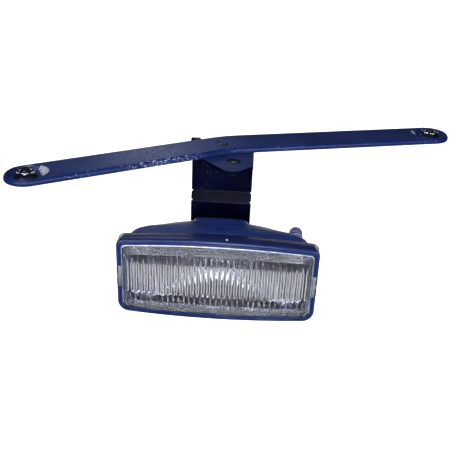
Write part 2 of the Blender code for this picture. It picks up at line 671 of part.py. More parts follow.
def bulb_boot(lamp):
    """Rubber sleeve pushed over the housing's neck, open in its middle for the bulb."""
    profile = [(14.6, 62.8), (18.6, 62.8), (BOOT_RADIUS, 61.4), (BOOT_RADIUS, 53.4), (18.5, 53.4),
               (18.5, 60.3), (14.6, 60.3)]
    return add(turned("bulb_boot", profile, NECK_STEPS, closed=True), LAMP_ORIGIN, (-90, 0, 0), parent=lamp,
               finish="seal_rubber")


# ---------------------------------------------------------------- reflector and its aim

def reflector_rings(inset, front, shift):
    sections = ((14.0, 57.5, 27.5, 1.0, 5.0), (17.0, 55.0, 27.2, 1.0, 6.0), (22.0, 50.0, 26.6, 0.9, 8.0),
                (27.0, 43.0, 25.6, 0.8, 11.0), (32.0, 33.5, 24.0, 0.6, 14.0), (37.0, 22.0, 19.5, 0.3, 15.0),
                (40.0, 13.5, 13.0, 0.0, 12.0))
    rings = []
    for i, (depth, width, height, bow, corner) in enumerate(sections):
        radius = min(max(corner - inset, 2.0), height - inset - 0.05, width - inset - 0.05)
        y = front if (i == 0 and front is not None) else depth + shift
        rings.append(lamp_ring(width - inset, height - inset, bow, radius, radius, y))
    return rings


def reflector(body):
    mirror = add(loft("reflector", reflector_rings(0, None, 0)), LAMP_ORIGIN, parent=body,
                 finish="mirror_coat")
    collar = rod("reflector_collar", 12.6, 37.0, 49.0, 20)
    join(mirror, add(collar, LAMP_ORIGIN, (-90, 0, 0), parent=body))
    rim = [lamp_ring(68.0, 28.2, 1.5, 5, 5, 12.6), lamp_ring(68.0, 28.2, 1.5, 5, 5, 14.4)]
    join(mirror, add(loft("reflector_rim", rim), LAMP_ORIGIN, parent=body))
    cut(mirror, add(loft("reflector_inside", reflector_rings(1.6, 8.0, -1.6)), LAMP_ORIGIN, parent=body))
    cut(mirror, add(rod("bulb_hole", 9.3, 30, 60, 20), LAMP_ORIGIN, (-90, 0, 0), parent=body))
    for side in (-1, 1):
        place = lamp_point((side * BALL_SPREAD, 0, REFLECTOR_AXIS[2]))
        cut(mirror, add(rod(f"ball_socket_{side}", BALL_RADIUS + 0.4, 5, 30, 16), place, (-90, 0, 0), parent=body))
    place = lamp_point((AIM_AXIS[0], 0, AIM_AXIS[2]))
    return cut(mirror, add(rod("aim_nut_hole", 3.4, 5, 30, 16), place, (-90, 0, 0), parent=body))


def aim_nut(body):
    """Nylon nut clipped in the reflector's corner, its middle at the height of the screw."""
    place = lamp_point((AIM_AXIS[0], 0, AIM_AXIS[2]))
    bore = AIM_SCREW_RADIUS + 0.4
    profile = [(bore, 20.0), (3.1, 20.0), (3.1, 16.4), (4.4, 16.4), (4.4, 14.7), (3.1, 14.7), (3.1, 11.4),
               (bore, 11.4)]
    return add(turned("aim_nut", profile, 14, closed=True), place, (-90, 0, 0), parent=body, finish="nylon")


def aim_screw(body):
    place = lamp_point((AIM_AXIS[0], 0, AIM_AXIS[2]))
    r = AIM_SCREW_RADIUS
    profile = [(0, SCREW_END), (r, SCREW_END), (r, 38.0), (4.2, 38.0), (4.2, 36.6), (r, 36.6), (r, 10.2),
               (r - 0.8, 9.4), (0, 9.4)]
    return add(turned("aim_screw", profile, 14), place, (-90, 0, 0), parent=body, finish="zinc")


def aim_knob(body):
    """Ribbed knob pressed on the end of the aim screw, with a slot for a screwdriver."""
    place = lamp_point((AIM_AXIS[0], 0, AIM_AXIS[2]))
    low, high = AIM_AXIS[1] - 4.2, AIM_AXIS[1] + 4.2
    profile = [(0, high), (4.2, high), (5.0, high - 0.8), (5.0, low + 0.6), (4.4, low), (0, low)]
    knob = add(turned("aim_knob", profile), place, (-90, 0, 0), parent=body, finish="knob_plastic")
    for k in range(8):
        rib = add(rod(f"knob_rib_{k}", 0.7, low + 0.8, high - 0.8, 8), parent=body)
        a = math.radians(45 * k)
        rib.location = scaled([place[0] + 4.9 * math.cos(a) - body["place"][0],
                               place[1] - body["place"][1],
                               place[2] + 4.9 * math.sin(a) - body["place"][2]])
        rib.rotation_euler = (math.radians(-90), 0, 0)
        join(knob, rib)
    slot = box("knob_slot", (-6, -0.6, high - 1.6), (6, 0.6, high + 1))
    cut(knob, add(slot, place, (-90, 0, 0), parent=body))
    socket = rod("knob_socket", AIM_SCREW_RADIUS + GAP, low - 1, SCREW_END + GAP)
    return cut(knob, add(socket, place, (-90, 0, 0), parent=body))


def aim_bush(lamp):
    """Bush in the housing's wall that the aim screw turns in."""
    place = lamp_point((AIM_AXIS[0], 0, AIM_AXIS[2]))
    bore = AIM_SCREW_RADIUS + GAP
    profile = [(bore, 36.2), (5.6, 36.2), (5.6, 34.4), (4.2, 34.4), (4.2, 23.4), (bore, 23.4)]
    return add(turned("aim_bush", profile, 14, closed=True), place, (-90, 0, 0), parent=lamp, finish="nylon")


# ---------------------------------------------------------------- bulb

def bulb_base(body):
    profile = [(0, 66.0), (9.0, 66.0), (10.5, 64.0), (10.5, 52.2), (12.4, 52.2), (12.4, 49.4), (8.9, 49.4),
               (8.9, 40.0), (7.2, 38.4), (0, 38.4)]
    base = add(turned("bulb_base", profile, 20), LAMP_ORIGIN, (-90, 0, 0), parent=body, finish="bulb_plastic")
    shroud = box("plug_shroud", (-9.0, 62.0, -6.0), (9.0, 77.0, 6.0))
    join(base, add(shroud, LAMP_ORIGIN, parent=body))
    inside = box("plug_socket", (-7.5, 67.0, -4.5), (7.5, 80.0, 4.5))
    cut(base, add(inside, LAMP_ORIGIN, parent=body))
    key = box("plug_key", (-2.0, 68.5, 5.5), (2.0, 76.0, 7.4))
    join(base, add(key, LAMP_ORIGIN, parent=body))
    for side in (-1, 1):
        slot = box(f"terminal_slot_{side}", (side * 4.6 - 0.75, 30.0, -2.1), (side * 4.6 + 0.75, 70.0, 2.1))
        cut(base, add(slot, LAMP_ORIGIN, parent=body))
    groove = ring("seal_groove", 7.7, 12.0, 43.0, 46.0, 20)
    return cut(base, add(groove, LAMP_ORIGIN, (-90, 0, 0), parent=body))


def bulb_glass(body):
    """Capsule standing on the base, open at its foot, where the leads come in."""
    outer = [(0, 21.0), (2.4, 21.4), (4.2, 22.8), (5.0, 25.0), (5.2, 28.0), (5.2, 37.9)]
    inner = [(4.3, 37.9), (4.3, 28.0), (4.1, 25.4), (3.3, 23.6), (2.0, 22.5), (0, 22.1)]
    profile = [(r, -h) for r, h in outer + inner]
    return add(turned("bulb_glass", profile, 14), LAMP_ORIGIN, (90, 0, 0), parent=body, finish="bulb_glass")


def bulb_inside(body):
    turns, radius, step = 5, 0.9, 1.05
    coil = []
    for k in range(turns * 6 + 1):
        a = math.radians(60 * k)
        x = (k / 6 - turns / 2) * step
        coil.append((x, 27.0 + radius * math.cos(a), radius * math.sin(a)))
    add(tube("bulb_filament", coil, 0.16, 1), LAMP_ORIGIN, parent=body, finish="tungsten")
    for name, side in (("left", -1), ("right", 1)):
        path = [(side * 3.2, 27.9, 0), (side * 3.2, 30.0, 0), (side * 2.6, 32.5, 0), (side * 2.6, 37.9, 0)]
        add(tube(f"bulb_lead_{name}", path, 0.35), LAMP_ORIGIN, parent=body, finish="tungsten")
        blade = box(f"terminal_{name}", (side * 4.6 - 0.4, 38.8, -1.8), (side * 4.6 + 0.4, 75.0, 1.8))
        add(blade, LAMP_ORIGIN, parent=body, finish="tinned_copper")


def bulb_seal(body):
    section = arc((8.35, 44.5), 0.62, 180, -180, 6)[:-1]
    return add(turned("bulb_seal", section, 20, closed=True), LAMP_ORIGIN, (-90, 0, 0), parent=body,
               finish="seal_rubber")


# ---------------------------------------------------------------- assembly

def main():
    mounting_bar()
    for side, end in (("left", LEFT_END), ("right", RIGHT_END)):
        end_fasteners(side, end)
    sunk_screw("bar_screw", BAR_SCREW_AT, 0.0, 15.5)
    under_nut("bar_nut", BAR_SCREW_AT, FLANGE_TOP - SHEET - GAP)
    hanger_bracket()
    sunk_screw("tab_screw", TAB_SCREW_AT, FLANGE_TOP, 11.0)
    under_nut("tab_nut", TAB_SCREW_AT, FLANGE_TOP - SHEET - GAP)

    lamp = empty("lamp_tilt_axis", lamp_point(TILT_AXIS))
    pivot_fasteners("left", -1, lamp)
    pivot_fasteners("right", 1, lamp)
    rear_housing(lamp)
    front_bezel(lamp)
    lens(lamp)
    lens_seal(lamp)
    lens_clip("left", -1, lamp)
    lens_clip("right", 1, lamp)
    vent_cap(lamp)
    bulb_boot(lamp)
    aim_bush(lamp)

    screw = empty("aim_screw_axis", lamp_point(AIM_AXIS), lamp)
    aim_screw(screw)
    aim_knob(screw)

    mirror = empty("reflector_axis", lamp_point(REFLECTOR_AXIS), lamp)
    reflector(mirror)
    aim_nut(mirror)

    bulb = empty("bulb_axis", lamp_point(BULB_AXIS), mirror)
    bulb_base(bulb)
    bulb_glass(bulb)
    bulb_inside(bulb)
    bulb_seal(bulb)


main()
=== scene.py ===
"""Looks for the fog light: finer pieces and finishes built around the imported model.

Lamp pieces are drawn in the lamp's own frame (x right, y back from the bezel's front, z up from its
middle) in millimetres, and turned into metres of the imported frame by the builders.
"""

import json
import math

import bmesh
import bpy
from mathutils import Matrix, Vector


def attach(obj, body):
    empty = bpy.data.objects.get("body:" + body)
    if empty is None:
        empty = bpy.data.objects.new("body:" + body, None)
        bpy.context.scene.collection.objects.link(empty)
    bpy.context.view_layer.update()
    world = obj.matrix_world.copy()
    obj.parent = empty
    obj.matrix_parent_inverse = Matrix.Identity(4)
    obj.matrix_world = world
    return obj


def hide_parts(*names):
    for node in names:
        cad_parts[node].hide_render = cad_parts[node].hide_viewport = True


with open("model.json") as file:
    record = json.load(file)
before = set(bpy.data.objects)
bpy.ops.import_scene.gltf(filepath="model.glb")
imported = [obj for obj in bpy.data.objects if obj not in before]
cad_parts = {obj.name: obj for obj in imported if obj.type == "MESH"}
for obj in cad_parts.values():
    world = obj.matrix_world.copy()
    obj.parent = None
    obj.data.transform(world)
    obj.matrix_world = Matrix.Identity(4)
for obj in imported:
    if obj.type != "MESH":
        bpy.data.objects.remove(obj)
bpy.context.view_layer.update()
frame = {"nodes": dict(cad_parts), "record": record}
NODES = frame["nodes"]

MM = 0.001
LAMP = Vector((0.0, -92.0, -87.2))

# Camera, in metres and degrees
CAMERA_AT = (0.020757, -0.555462, 0.201022)
CAMERA_AZIMUTH = 1.938
CAMERA_ELEVATION = 27.053
CAMERA_ROLL = 2.372
CAMERA_LENS = 54.63
SENSOR = 36.0

# Studio, in metres
FLOOR_HEIGHT = -0.55
FLOOR_SIZE = 40.0
BACKDROP_RADIUS = 9.0
WORLD_COLOUR = (0.55, 0.65, 1.0)
WORLD_STRENGTH = 0.08
WHITE = (1.0, 1.0, 1.0)
PALE = (0.86, 0.91, 1.0)
BLUISH = (0.62, 0.74, 1.0)
FRONT_LIGHTS_X = (-1.1, -0.55, 0.0, 0.55, 1.1)

# Mounting bar
BAR_WIDTH = 33.2
BAR_DEPTH = 5.0
BAR_SHEET = 2.5
BAR_ROUND = 3.0
BEND_POINT = (3.0, -5.0)
BEND_RADIUS = 90.0
LEFT_ANGLE = 31.24
RIGHT_ANGLE = 15.79
LEFT_REACH = 188.8
RIGHT_REACH = 203.9
POCKET_TOP_RADIUS = 13.7
POCKET_FLOOR_RADIUS = 11.2
POCKET_DEPTH = 4.0
POCKET_FLOOR = 2.5
# Ramp on each pocket's inward side, and how far from the pocket's middle it carries a painted highlight in
# bright metal
RAMP_SHIFT = 4.4
GLINT_FROM = 11.3
GLINT_TO = 18.0
GLINT_SPREAD = 0.86
END_BOLT_HOLE = 4.5
BAR_SCREW_AT = (-3.1, -11.3)
SCREW_HOLE = 3.3
SCREW_SINK = 5.7
TAB_SCREW_AT = (8.3, -37.7)
FLANGE_TOP = -5.3
FLANGE_LEVEL = -12.0
GAP = 0.3
# Faces of the bar that turn further forward than this carry a darker copy of its paint, a painted shade
SHADED_FACING = -0.3
# Extra slots on the bar: bright metal for the painted highlight on each pocket ramp, and darker paint for
# painted shade on its forward faces
BAR_SLOTS = {"painted_glint_metal": 1, "front_shade_paint": 2}
# Middle of the dusty patch on the bar, in metres as the finishes read it
DUST_AT = (-0.058, -0.038, 0.0)
SPECK_COLOUR = (0.6, 0.65, 0.8)
WELD_AT = (16.3, -7.2)
WELD_RADIUS = 3.4
WELD_WIDTH = 0.45

# Lamp shells
BEZEL_HALF_WIDTH = 80.0
BEZEL_HALF_HEIGHT = 32.8
BEZEL_BOW = 3.0
BEZEL_DEPTH = 13.4
BEZEL_WALL = 2.0
TOP_CORNER = 5.5
BOTTOM_CORNER = 9.5
APERTURE_HALF_WIDTH = 75.2
APERTURE_HALF_HEIGHT = 29.6
APERTURE_BOW = 2.6
APERTURE_DROP = 2.3
APERTURE_CORNERS = (3.0, 6.5)
# Lowest height of the painted highlight line on the rim's bead
GLINT_LINE_FOOT = -20.0
LENS_FRONT = 3.6
LENS_THICKNESS = 3.4
LENS_BULGE = 1.4
BULGE_HALF_HEIGHT = 31.0
AIM_AXIS = (63.0, 45.0, 23.6)
SCREW_END = 45.5

# Lens pattern
FLUTE_PITCH = 4.4
FLUTE_RELIEF = 2.0
CELL_PITCH = 2.6
CELL_RELIEF = 0.9
GRAIN_PITCH = 2.5
GRAIN_RELIEF = 0.9
# Shares of the lens opening's height where its bands meet, and where its side bands start
GRAIN_TOP = 0.135
WINDOW_TOP = 0.235
FLUTE_TOP = 0.82
SIDE_BAND = 72.4

# Rim's face: share of the way from its outer edge to the lens opening, and depth there
RIM_FACE = (
    (0.018, 1.0), (0.04, 0.6), (0.073, 0.3), (0.145, 0.06), (0.218, 0.0), (0.38, 0.0), (0.42, 0.15),
    (0.455, 0.9), (0.50, 1.6), (0.545, 1.9), (0.655, 2.0), (0.673, 1.95), (0.745, 1.45), (0.836, 0.9),
    (0.909, 0.5), (0.945, 0.42), (0.982, 0.6), (1.0, 1.0), (1.0, 3.3),
)
RIM_LIP = 3.3
CLIP_SLOT_FROM = 77.0
CLIP_SLOT_TO = 83.0
CLIP_SLOT_HALF = 10.2
PIP_AT = (6.8, 5.0)

# Mirror bowl: depth, half width, half height, bow and corner radius, from its mouth to its throat
REFLECTOR_SECTIONS = (
    (14.0, 57.5, 27.5, 1.0, 5.0), (17.0, 55.0, 27.2, 1.0, 6.0), (22.0, 50.0, 26.6, 0.9, 8.0),
    (27.0, 43.0, 25.6, 0.8, 11.0), (32.0, 33.5, 24.0, 0.6, 14.0), (37.0, 22.0, 19.5, 0.3, 15.0),
    (40.0, 13.5, 13.0, 0.0, 12.0),
)
REFLECTOR_WALL = 1.6
FLANGE_SIZE = (68.0, 28.2)
FLANGE_FRONT = 12.6
FLANGE_BACK = 14.2
COLLAR_BORE = 9.3
COLLAR_RADIUS = 12.6
COLLAR_END = 49.0

# Raised mould lines round the housing's crown: depth, half width, half height, bow and corner radius
MOULD_LINES = ((16.6, 73.0, 32.5, 2.5, 8.0), (21.6, 72.1, 32.55, 2.2, 8.2))
LINE_HEIGHT = 0.14
LINE_WIDTH = 0.7
LINE_ROOT = 0.8

# Side clip: its path seen from above, and its section
CLIP_PATH = (
    (76.4, 0.9), (78.0, 0.75), (79.2, 0.75), (79.75, 1.3), (79.85, 2.4), (79.55, 5.0), (79.4, 7.5),
    (79.55, 10.5), (79.85, 13.2), (79.6, 14.2), (78.6, 14.6), (77.0, 14.5),
)
CLIP_HALF_HEIGHT = 9.5
CLIP_HALF_SHEET = 0.38

# Fasteners
BOLT_RADIUS = 4.0
THREAD_PITCH = 1.25
THREAD_RELIEF = 0.35
NUT_ACROSS_FLATS = 13.0
NUT_HEIGHT = 5.2
NUT_TURN = 12.0
SOCKET_ACROSS_FLATS = 4.2
BAR_SCREW_LENGTH = 15.0
TAB_SCREW_LENGTH = 12.0

# Aim knob and bulb boot
KNOB_HALF_LENGTH = 4.2
KNOB_BORE = 2.3
KNOB_SLOT_HALF_WIDTH = 0.6
BOOT_PROFILE = (
    (14.6, 62.4), (15.0, 62.8), (18.2, 62.8), (19.2, 62.5), (19.9, 61.8), (20.2, 60.9), (19.8, 60.0),
    (19.6, 59.0), (20.0, 58.3), (20.2, 57.7), (20.0, 57.1), (19.6, 56.4), (19.6, 55.6), (20.0, 55.0),
    (20.2, 54.4), (20.0, 53.7), (19.4, 53.4), (18.5, 53.4), (18.5, 60.3), (15.0, 60.3), (14.6, 60.7),
)


# ---------------------------------------------------------------- camera, floor and light

def place_camera():
    azimuth, elevation, roll = (math.radians(a) for a in (CAMERA_AZIMUTH, CAMERA_ELEVATION, CAMERA_ROLL))
    forward = Vector((-math.sin(azimuth) * math.cos(elevation), math.cos(azimuth) * math.cos(elevation),
                      -math.sin(elevation)))
    right = Vector((math.cos(azimuth), math.sin(azimuth), 0.0))
    up = right.cross(forward)
    turned_right = right * math.cos(roll) + up * math.sin(roll)
    turned_up = up * math.cos(roll) - right * math.sin(roll)
    data = bpy.data.cameras.new("camera")
    data.sensor_width = SENSOR
    data.lens = CAMERA_LENS
    data.clip_start = 0.01
    data.clip_end = 100.0
    camera = bpy.data.objects.new("camera", data)
    bpy.context.scene.collection.objects.link(camera)
    turn = Matrix((turned_right, turned_up, -forward)).transposed().to_4x4()
    camera.matrix_world = Matrix.Translation(CAMERA_AT) @ turn
    bpy.context.scene.camera = camera


def area_light(name, place, target, size, power, colour=WHITE):
    data = bpy.data.lights.new(name, "AREA")
    data.shape = "RECTANGLE"
    data.size, data.size_y = size
    data.energy = power
    data.color = colour
    light = bpy.data.objects.new(name, data)
    light.location = place
    light.visible_camera = False
    light.rotation_euler = (Vector(target) - Vector(place)).to_track_quat("-Z", "Y").to_euler()
    bpy.context.scene.collection.objects.link(light)


def stage_mesh(name, bm, material):
    """Floor or backdrop: the camera sees it, but it lights nothing and shows in no reflection."""
    mesh = bpy.data.meshes.new(name)
    bm.to_mesh(mesh)
    bm.free()
    mesh.materials.append(material)
    made = bpy.data.objects.new(name, mesh)
    bpy.context.scene.collection.objects.link(made)
    made.visible_glossy = False
    made.visible_transmission = False
    made.visible_diffuse = False
    return made


def build_stage():
    pale = bpy.data.materials.new("floor_white")
    pale.use_nodes = True
    shader = pale.node_tree.nodes["Principled BSDF"]
    shader.inputs["Base Color"].default_value = (0.9, 0.9, 0.9, 1)
    shader.inputs["Roughness"].default_value = 0.9
    shader.inputs["Specular IOR Level"].default_value = 0.0
    shader.inputs["Emission Color"].default_value = (*WHITE, 1)
    shader.inputs["Emission Strength"].default_value = 1.0

    bm = bmesh.new()
    bmesh.ops.create_grid(bm, x_segments=1, y_segments=1, size=FLOOR_SIZE / 2)
    floor = stage_mesh("floor", bm, pale)
    floor.location.z = FLOOR_HEIGHT
    bm = bmesh.new()
    bmesh.ops.create_uvsphere(bm, u_segments=32, v_segments=16, radius=BACKDROP_RADIUS)
    backdrop = stage_mesh("backdrop", bm, pale)
    backdrop.visible_shadow = False

    world = bpy.data.worlds.new("studio")
    world.use_nodes = True
    background = world.node_tree.nodes["Background"]
    background.inputs["Color"].default_value = (*WORLD_COLOUR, 1)
    background.inputs["Strength"].default_value = WORLD_STRENGTH
    bpy.context.scene.world = world

    area_light("overhead", (-0.3, 0.1, 1.4), (0, 0, 0), (1.6, 1.2), 3, BLUISH)
    area_light("back_left", (-0.35, 1.9, 0.84), (0, 0, 0), (0.5, 0.4), 0.8, BLUISH)
    for x in FRONT_LIGHTS_X:
        area_light("front", (x, -1.4, 0.25), (0, 0, -0.08), (0.09, 0.9), 14, PALE)
    area_light("front_low", (0.0, -0.75, -0.43), (0, 0, -0.1), (1.0, 0.2), 0.4)
    area_light("strip", (-0.35, -0.55, 1.1), (0, -0.08, -0.05), (0.9, 0.07), 8)
    area_light("back_low", (0.0, 2.0, -0.25), (0, 0, -0.05), (3.2, 0.45), 11)
    bpy.context.scene.view_settings.view_transform = "Standard"


# ---------------------------------------------------------------- finishes

def new_material(name):
    made = bpy.data.materials.new(name)
    made["slot"] = name
    made.use_nodes = True
    return made, made.node_tree, made.node_tree.nodes["Principled BSDF"]


def add_noise(tree, place, scale, detail=2.0):
    made = tree.nodes.new("ShaderNodeTexNoise")
    made.inputs["Scale"].default_value = scale
    made.inputs["Detail"].default_value = detail
    tree.links.new(place, made.inputs["Vector"])
    return made.outputs["Fac"]


def add_range(tree, value, low, high, to_low=0.0, to_high=1.0):
    made = tree.nodes.new("ShaderNodeMapRange")
    for socket, number in (("From Min", low), ("From Max", high), ("To Min", to_low), ("To Max", to_high)):
        made.inputs[socket].default_value = number
    tree.links.new(value, made.inputs["Value"])
    return made.outputs["Result"]


def add_ramp(tree, value, dark, light, low=0.0, high=1.0):
    made = tree.nodes.new("ShaderNodeValToRGB")
    for stop, place, colour in zip(made.color_ramp.elements, (low, high), (dark, light)):
        stop.position = place
        stop.color = (*colour, 1)
    tree.links.new(value, made.inputs["Fac"])
    return made.outputs["Color"]


def add_math(tree, operation, *values):
    made = tree.nodes.new("ShaderNodeMath")
    made.operation = operation
    for value, socket in zip(values, made.inputs):
        tree.links.new(value, socket)
    return made.outputs["Value"]


def add_bump(tree, shader, height, strength, distance):
    made = tree.nodes.new("ShaderNodeBump")
    made.inputs["Strength"].default_value = strength
    made.inputs["Distance"].default_value = distance
    tree.links.new(height, made.inputs["Height"])
    tree.links.new(made.outputs["Normal"], shader.inputs["Normal"])


def speck_amount(tree, place, specks, scarce):
    """Small round specks where a slow noise passes scarce."""
    dots = tree.nodes.new("ShaderNodeTexVoronoi")
    dots.inputs["Scale"].default_value = 420.0
    tree.links.new(place, dots.inputs["Vector"])
    near = add_range(tree, dots.outputs["Distance"], 0.16, 0.06, 0.0, specks)
    some = add_range(tree, add_noise(tree, place, 28.0), scarce, scarce + 0.14)
    return add_math(tree, "MULTIPLY", near, some)


def dust_amount(tree, place, cluster, amount):
    """The given specks with fine dust added round the point cluster."""
    peaks = add_range(tree, add_noise(tree, place, 950.0), 0.56, 0.68, 0.0, 0.6)
    away = tree.nodes.new("ShaderNodeVectorMath")
    away.operation = "DISTANCE"
    away.inputs[1].default_value = cluster
    tree.links.new(place, away.inputs[0])
    fade = add_range(tree, away.outputs["Value"], 0.045, 0.015)
    return add_math(tree, "MULTIPLY_ADD", peaks, fade, amount)


def finish(name, dark, light, rough=(0.3, 0.4), metallic=0.0, patch=40.0, grain=900.0, bump=0.05,
           specks=0.0, specular=0.5, scarce=0.52, cluster=None):
    """A coat whose colour drifts between two tones, with fine grain in its bump and roughness.

    patch and grain are how many waves the drift and the grain have in a metre. Specks of dust lie
    where a slow noise passes scarce, and thickly round the point cluster.
    """
    made, tree, shader = new_material(name)
    shader.inputs["Metallic"].default_value = metallic
    shader.inputs["Specular IOR Level"].default_value = specular
    place = tree.nodes.new("ShaderNodeTexCoord").outputs["Object"]
    colour = add_ramp(tree, add_noise(tree, place, patch, 5.0), dark, light, 0.35, 0.65)
    fine = add_noise(tree, place, grain, 3.0)
    tree.links.new(add_range(tree, fine, 0.3, 0.7, *rough), shader.inputs["Roughness"])
    if specks:
        amount = speck_amount(tree, place, specks, scarce)
        if cluster:
            amount = dust_amount(tree, place, cluster, amount)
        mix = tree.nodes.new("ShaderNodeMix")
        mix.data_type = "RGBA"
        mix.inputs["B"].default_value = (*SPECK_COLOUR, 1)
        tree.links.new(amount, mix.inputs["Factor"])
        tree.links.new(colour, mix.inputs["A"])
        colour = mix.outputs["Result"]
    tree.links.new(colour, shader.inputs["Base Color"])
    add_bump(tree, shader, fine, bump, 0.0004)
    return made


def clear_glass(name, colour, roughness=0.01, clear=1.0):
    """Pressed glass: clear, or part milky where it is finely grained, with a faint ripple."""
    made, tree, shader = new_material(name)
    shader.inputs["Transmission Weight"].default_value = clear
    shader.inputs["IOR"].default_value = 1.5
    place = tree.nodes.new("ShaderNodeTexCoord").outputs["Object"]
    ripple = add_noise(tree, place, 160.0)
    shade = [c * 0.94 for c in colour]
    tree.links.new(add_ramp(tree, ripple, shade, colour), shader.inputs["Base Color"])
    spread = add_range(tree, ripple, 0.0, 1.0, roughness * 0.5, roughness * 1.5)
    tree.links.new(spread, shader.inputs["Roughness"])
    add_bump(tree, shader, ripple, 0.08, 0.0003)
    return made


# Each finish: dark tone, light tone, span of roughness, metallic, and the rest by name
FINISH_TABLE = {
    "bar_paint": ((0.003, 0.008, 0.058), (0.007, 0.017, 0.088), (0.28, 0.38), 0.0,
                  dict(patch=30, grain=1400, bump=0.10, specks=0.5, cluster=DUST_AT)),
    # Darker copy of the bar paint for its forward faces: painted shade
    "front_shade_paint": ((0.002, 0.006, 0.038), (0.004, 0.011, 0.056), (0.28, 0.38), 0.0,
                   dict(patch=30, grain=1400, bump=0.10, specks=0.5, specular=0.15, cluster=DUST_AT)),
    # Near-black paint for the hanger plate, a painted shade, and the paler tab paint for the tab's top, a
    # painted light
    "bracket_paint": ((0.0005, 0.0007, 0.004), (0.0012, 0.0018, 0.010), (0.2, 0.3), 0.0,
                      dict(patch=45, grain=1300, bump=0.05, specks=0.25, specular=0.03, scarce=0.60)),
    "tab_lit_paint": ((0.008, 0.014, 0.055), (0.013, 0.021, 0.075), (0.3, 0.4), 0.0,
                  dict(patch=45, grain=1300, bump=0.1, specks=0.4, specular=0.3)),
    "black_zinc": ((0.012, 0.014, 0.026), (0.04, 0.045, 0.07), (0.16, 0.3), 0.9,
                   dict(patch=200, grain=2200, bump=0.06)),
    "zinc": ((0.35, 0.37, 0.42), (0.62, 0.63, 0.66), (0.2, 0.38), 1.0,
             dict(patch=260, grain=2400, bump=0.12)),
    "housing_plastic": ((0.007, 0.018, 0.088), (0.011, 0.025, 0.115), (0.30, 0.40), 0.0,
                        dict(patch=22, grain=1000, bump=0.04, specks=0.2, specular=0.3)),
    "bezel_plastic": ((0.006, 0.012, 0.055), (0.010, 0.018, 0.075), (0.18, 0.26), 0.0,
                      dict(patch=30, grain=900, bump=0.02, specular=0.3)),
    "seal_rubber": ((0.010, 0.010, 0.012), (0.022, 0.022, 0.026), (0.6, 0.8), 0.0,
                    dict(patch=90, grain=1600, bump=0.15)),
    "spring_steel": ((0.30, 0.31, 0.36), (0.62, 0.63, 0.68), (0.12, 0.3), 1.0,
                     dict(patch=180, grain=1900, bump=0.08)),
    "mirror_coat": ((0.42, 0.36, 0.45), (0.97, 0.97, 0.99), (0.01, 0.03), 1.0,
                    dict(patch=75, grain=500, bump=0.02)),
    "knob_plastic": ((0.03, 0.045, 0.13), (0.05, 0.07, 0.18), (0.3, 0.45), 0.0,
                     dict(patch=160, grain=1500, bump=0.15)),
    "tungsten": ((0.2, 0.2, 0.2), (0.35, 0.34, 0.33), (0.3, 0.5), 1.0,
                 dict(patch=600, grain=4000, bump=0.1)),
    "bulb_plastic": ((0.045, 0.04, 0.036), (0.075, 0.068, 0.06), (0.4, 0.55), 0.0,
                     dict(patch=120, grain=1500, bump=0.15)),
    "tinned_copper": ((0.6, 0.58, 0.52), (0.75, 0.72, 0.66), (0.2, 0.35), 1.0,
                      dict(patch=300, grain=2500, bump=0.08)),
    # Bright metal laid on the pocket ramps, the nut chamfers and the rim's bead: painted highlights
    "painted_glint_metal": ((0.35, 0.37, 0.42), (0.80, 0.81, 0.85), (0.25, 0.4), 0.6,
                   dict(patch=240, grain=2200, bump=0.1)),
    "nylon": ((0.5, 0.49, 0.45), (0.64, 0.62, 0.57), (0.4, 0.55), 0.0,
              dict(patch=140, grain=1500, bump=0.1)),
}


def build_finishes():
    made = {name: finish(name, dark, light, rough, metallic, **rest)
            for name, (dark, light, rough, metallic, rest) in FINISH_TABLE.items()}
    made["lens_glass"] = clear_glass("lens_glass", (0.97, 0.985, 1.0))
    made["lens_grain"] = clear_glass("lens_grain", (0.98, 0.98, 1.0), 0.03, 0.82)
    made["bulb_glass"] = clear_glass("bulb_glass", (0.98, 0.985, 1.0))
    return made


# ---------------------------------------------------------------- mesh builders

def piece(name, bm, material, body, node=None, sharp=35):
    """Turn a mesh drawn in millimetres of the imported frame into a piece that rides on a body."""
    bmesh.ops.recalc_face_normals(bm, faces=bm.faces)
    mesh = bpy.data.meshes.new(name)
    bmesh.ops.scale(bm, verts=bm.verts, vec=(MM, MM, MM))
    bm.to_mesh(mesh)
    bm.free()
    made = bpy.data.objects.new(name, mesh)
    bpy.context.scene.collection.objects.link(made)
    mesh.materials.append(material)
    smooth(made, sharp)
    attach(made, body)
    if node:
        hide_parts(node)
    return made


def smooth(made, angle):
    made.data.shade_smooth()
    made.data.set_sharp_from_angle(angle=math.radians(angle))


def flatten_shading(made):
    """Let large faces set the shading, so that flat sides look flat up to their rounded edges."""
    step = made.modifiers.new("weigh", "WEIGHTED_NORMAL")
    step.keep_sharp = True
    bake(made)


def skin(rings, closed=False):
    """Faces through rings of equal length; closed joins the last to the first, or both ends are capped."""
    bm = bmesh.new()
    rows = [[bm.verts.new(p) for p in ring] for ring in rings]
    count = len(rows[0])
    pairs = list(zip(rows, rows[1:]))
    if closed:
        pairs.append((rows[-1], rows[0]))
    for low, high in pairs:
        for i in range(count):
            j = (i + 1) % count
            bm.faces.new((low[i], low[j], high[j], high[i]))
    if not closed:
        bm.faces.new(rows[0])
        bm.faces.new(rows[-1])
    return bm


def lathe(profile, steps, matrix, closed=False):
    """A (radius, height) profile turned about local Z and placed by a matrix."""
    bm = bmesh.new()
    rings = []
    for k in range(steps):
        a = 2 * math.pi * k / steps
        rings.append([matrix @ Vector((r * math.cos(a), r * math.sin(a), h)) for r, h in profile])
    rows = [[bm.verts.new(p) for p in ring] for ring in rings]
    for k in range(steps):
        here, there = rows[k], rows[(k + 1) % steps]
        for i in range(len(profile) - (0 if closed else 1)):
            j = (i + 1) % len(profile)
            bm.faces.new((here[i], here[j], there[j], there[i]))
    bmesh.ops.remove_doubles(bm, verts=bm.verts, dist=1e-5)
    bmesh.ops.dissolve_degenerate(bm, edges=bm.edges, dist=1e-6)
    return bm


def prism(outline, low, high, matrix):
    return skin([[matrix @ Vector((x, y, h)) for x, y in outline] for h in (low, high)])


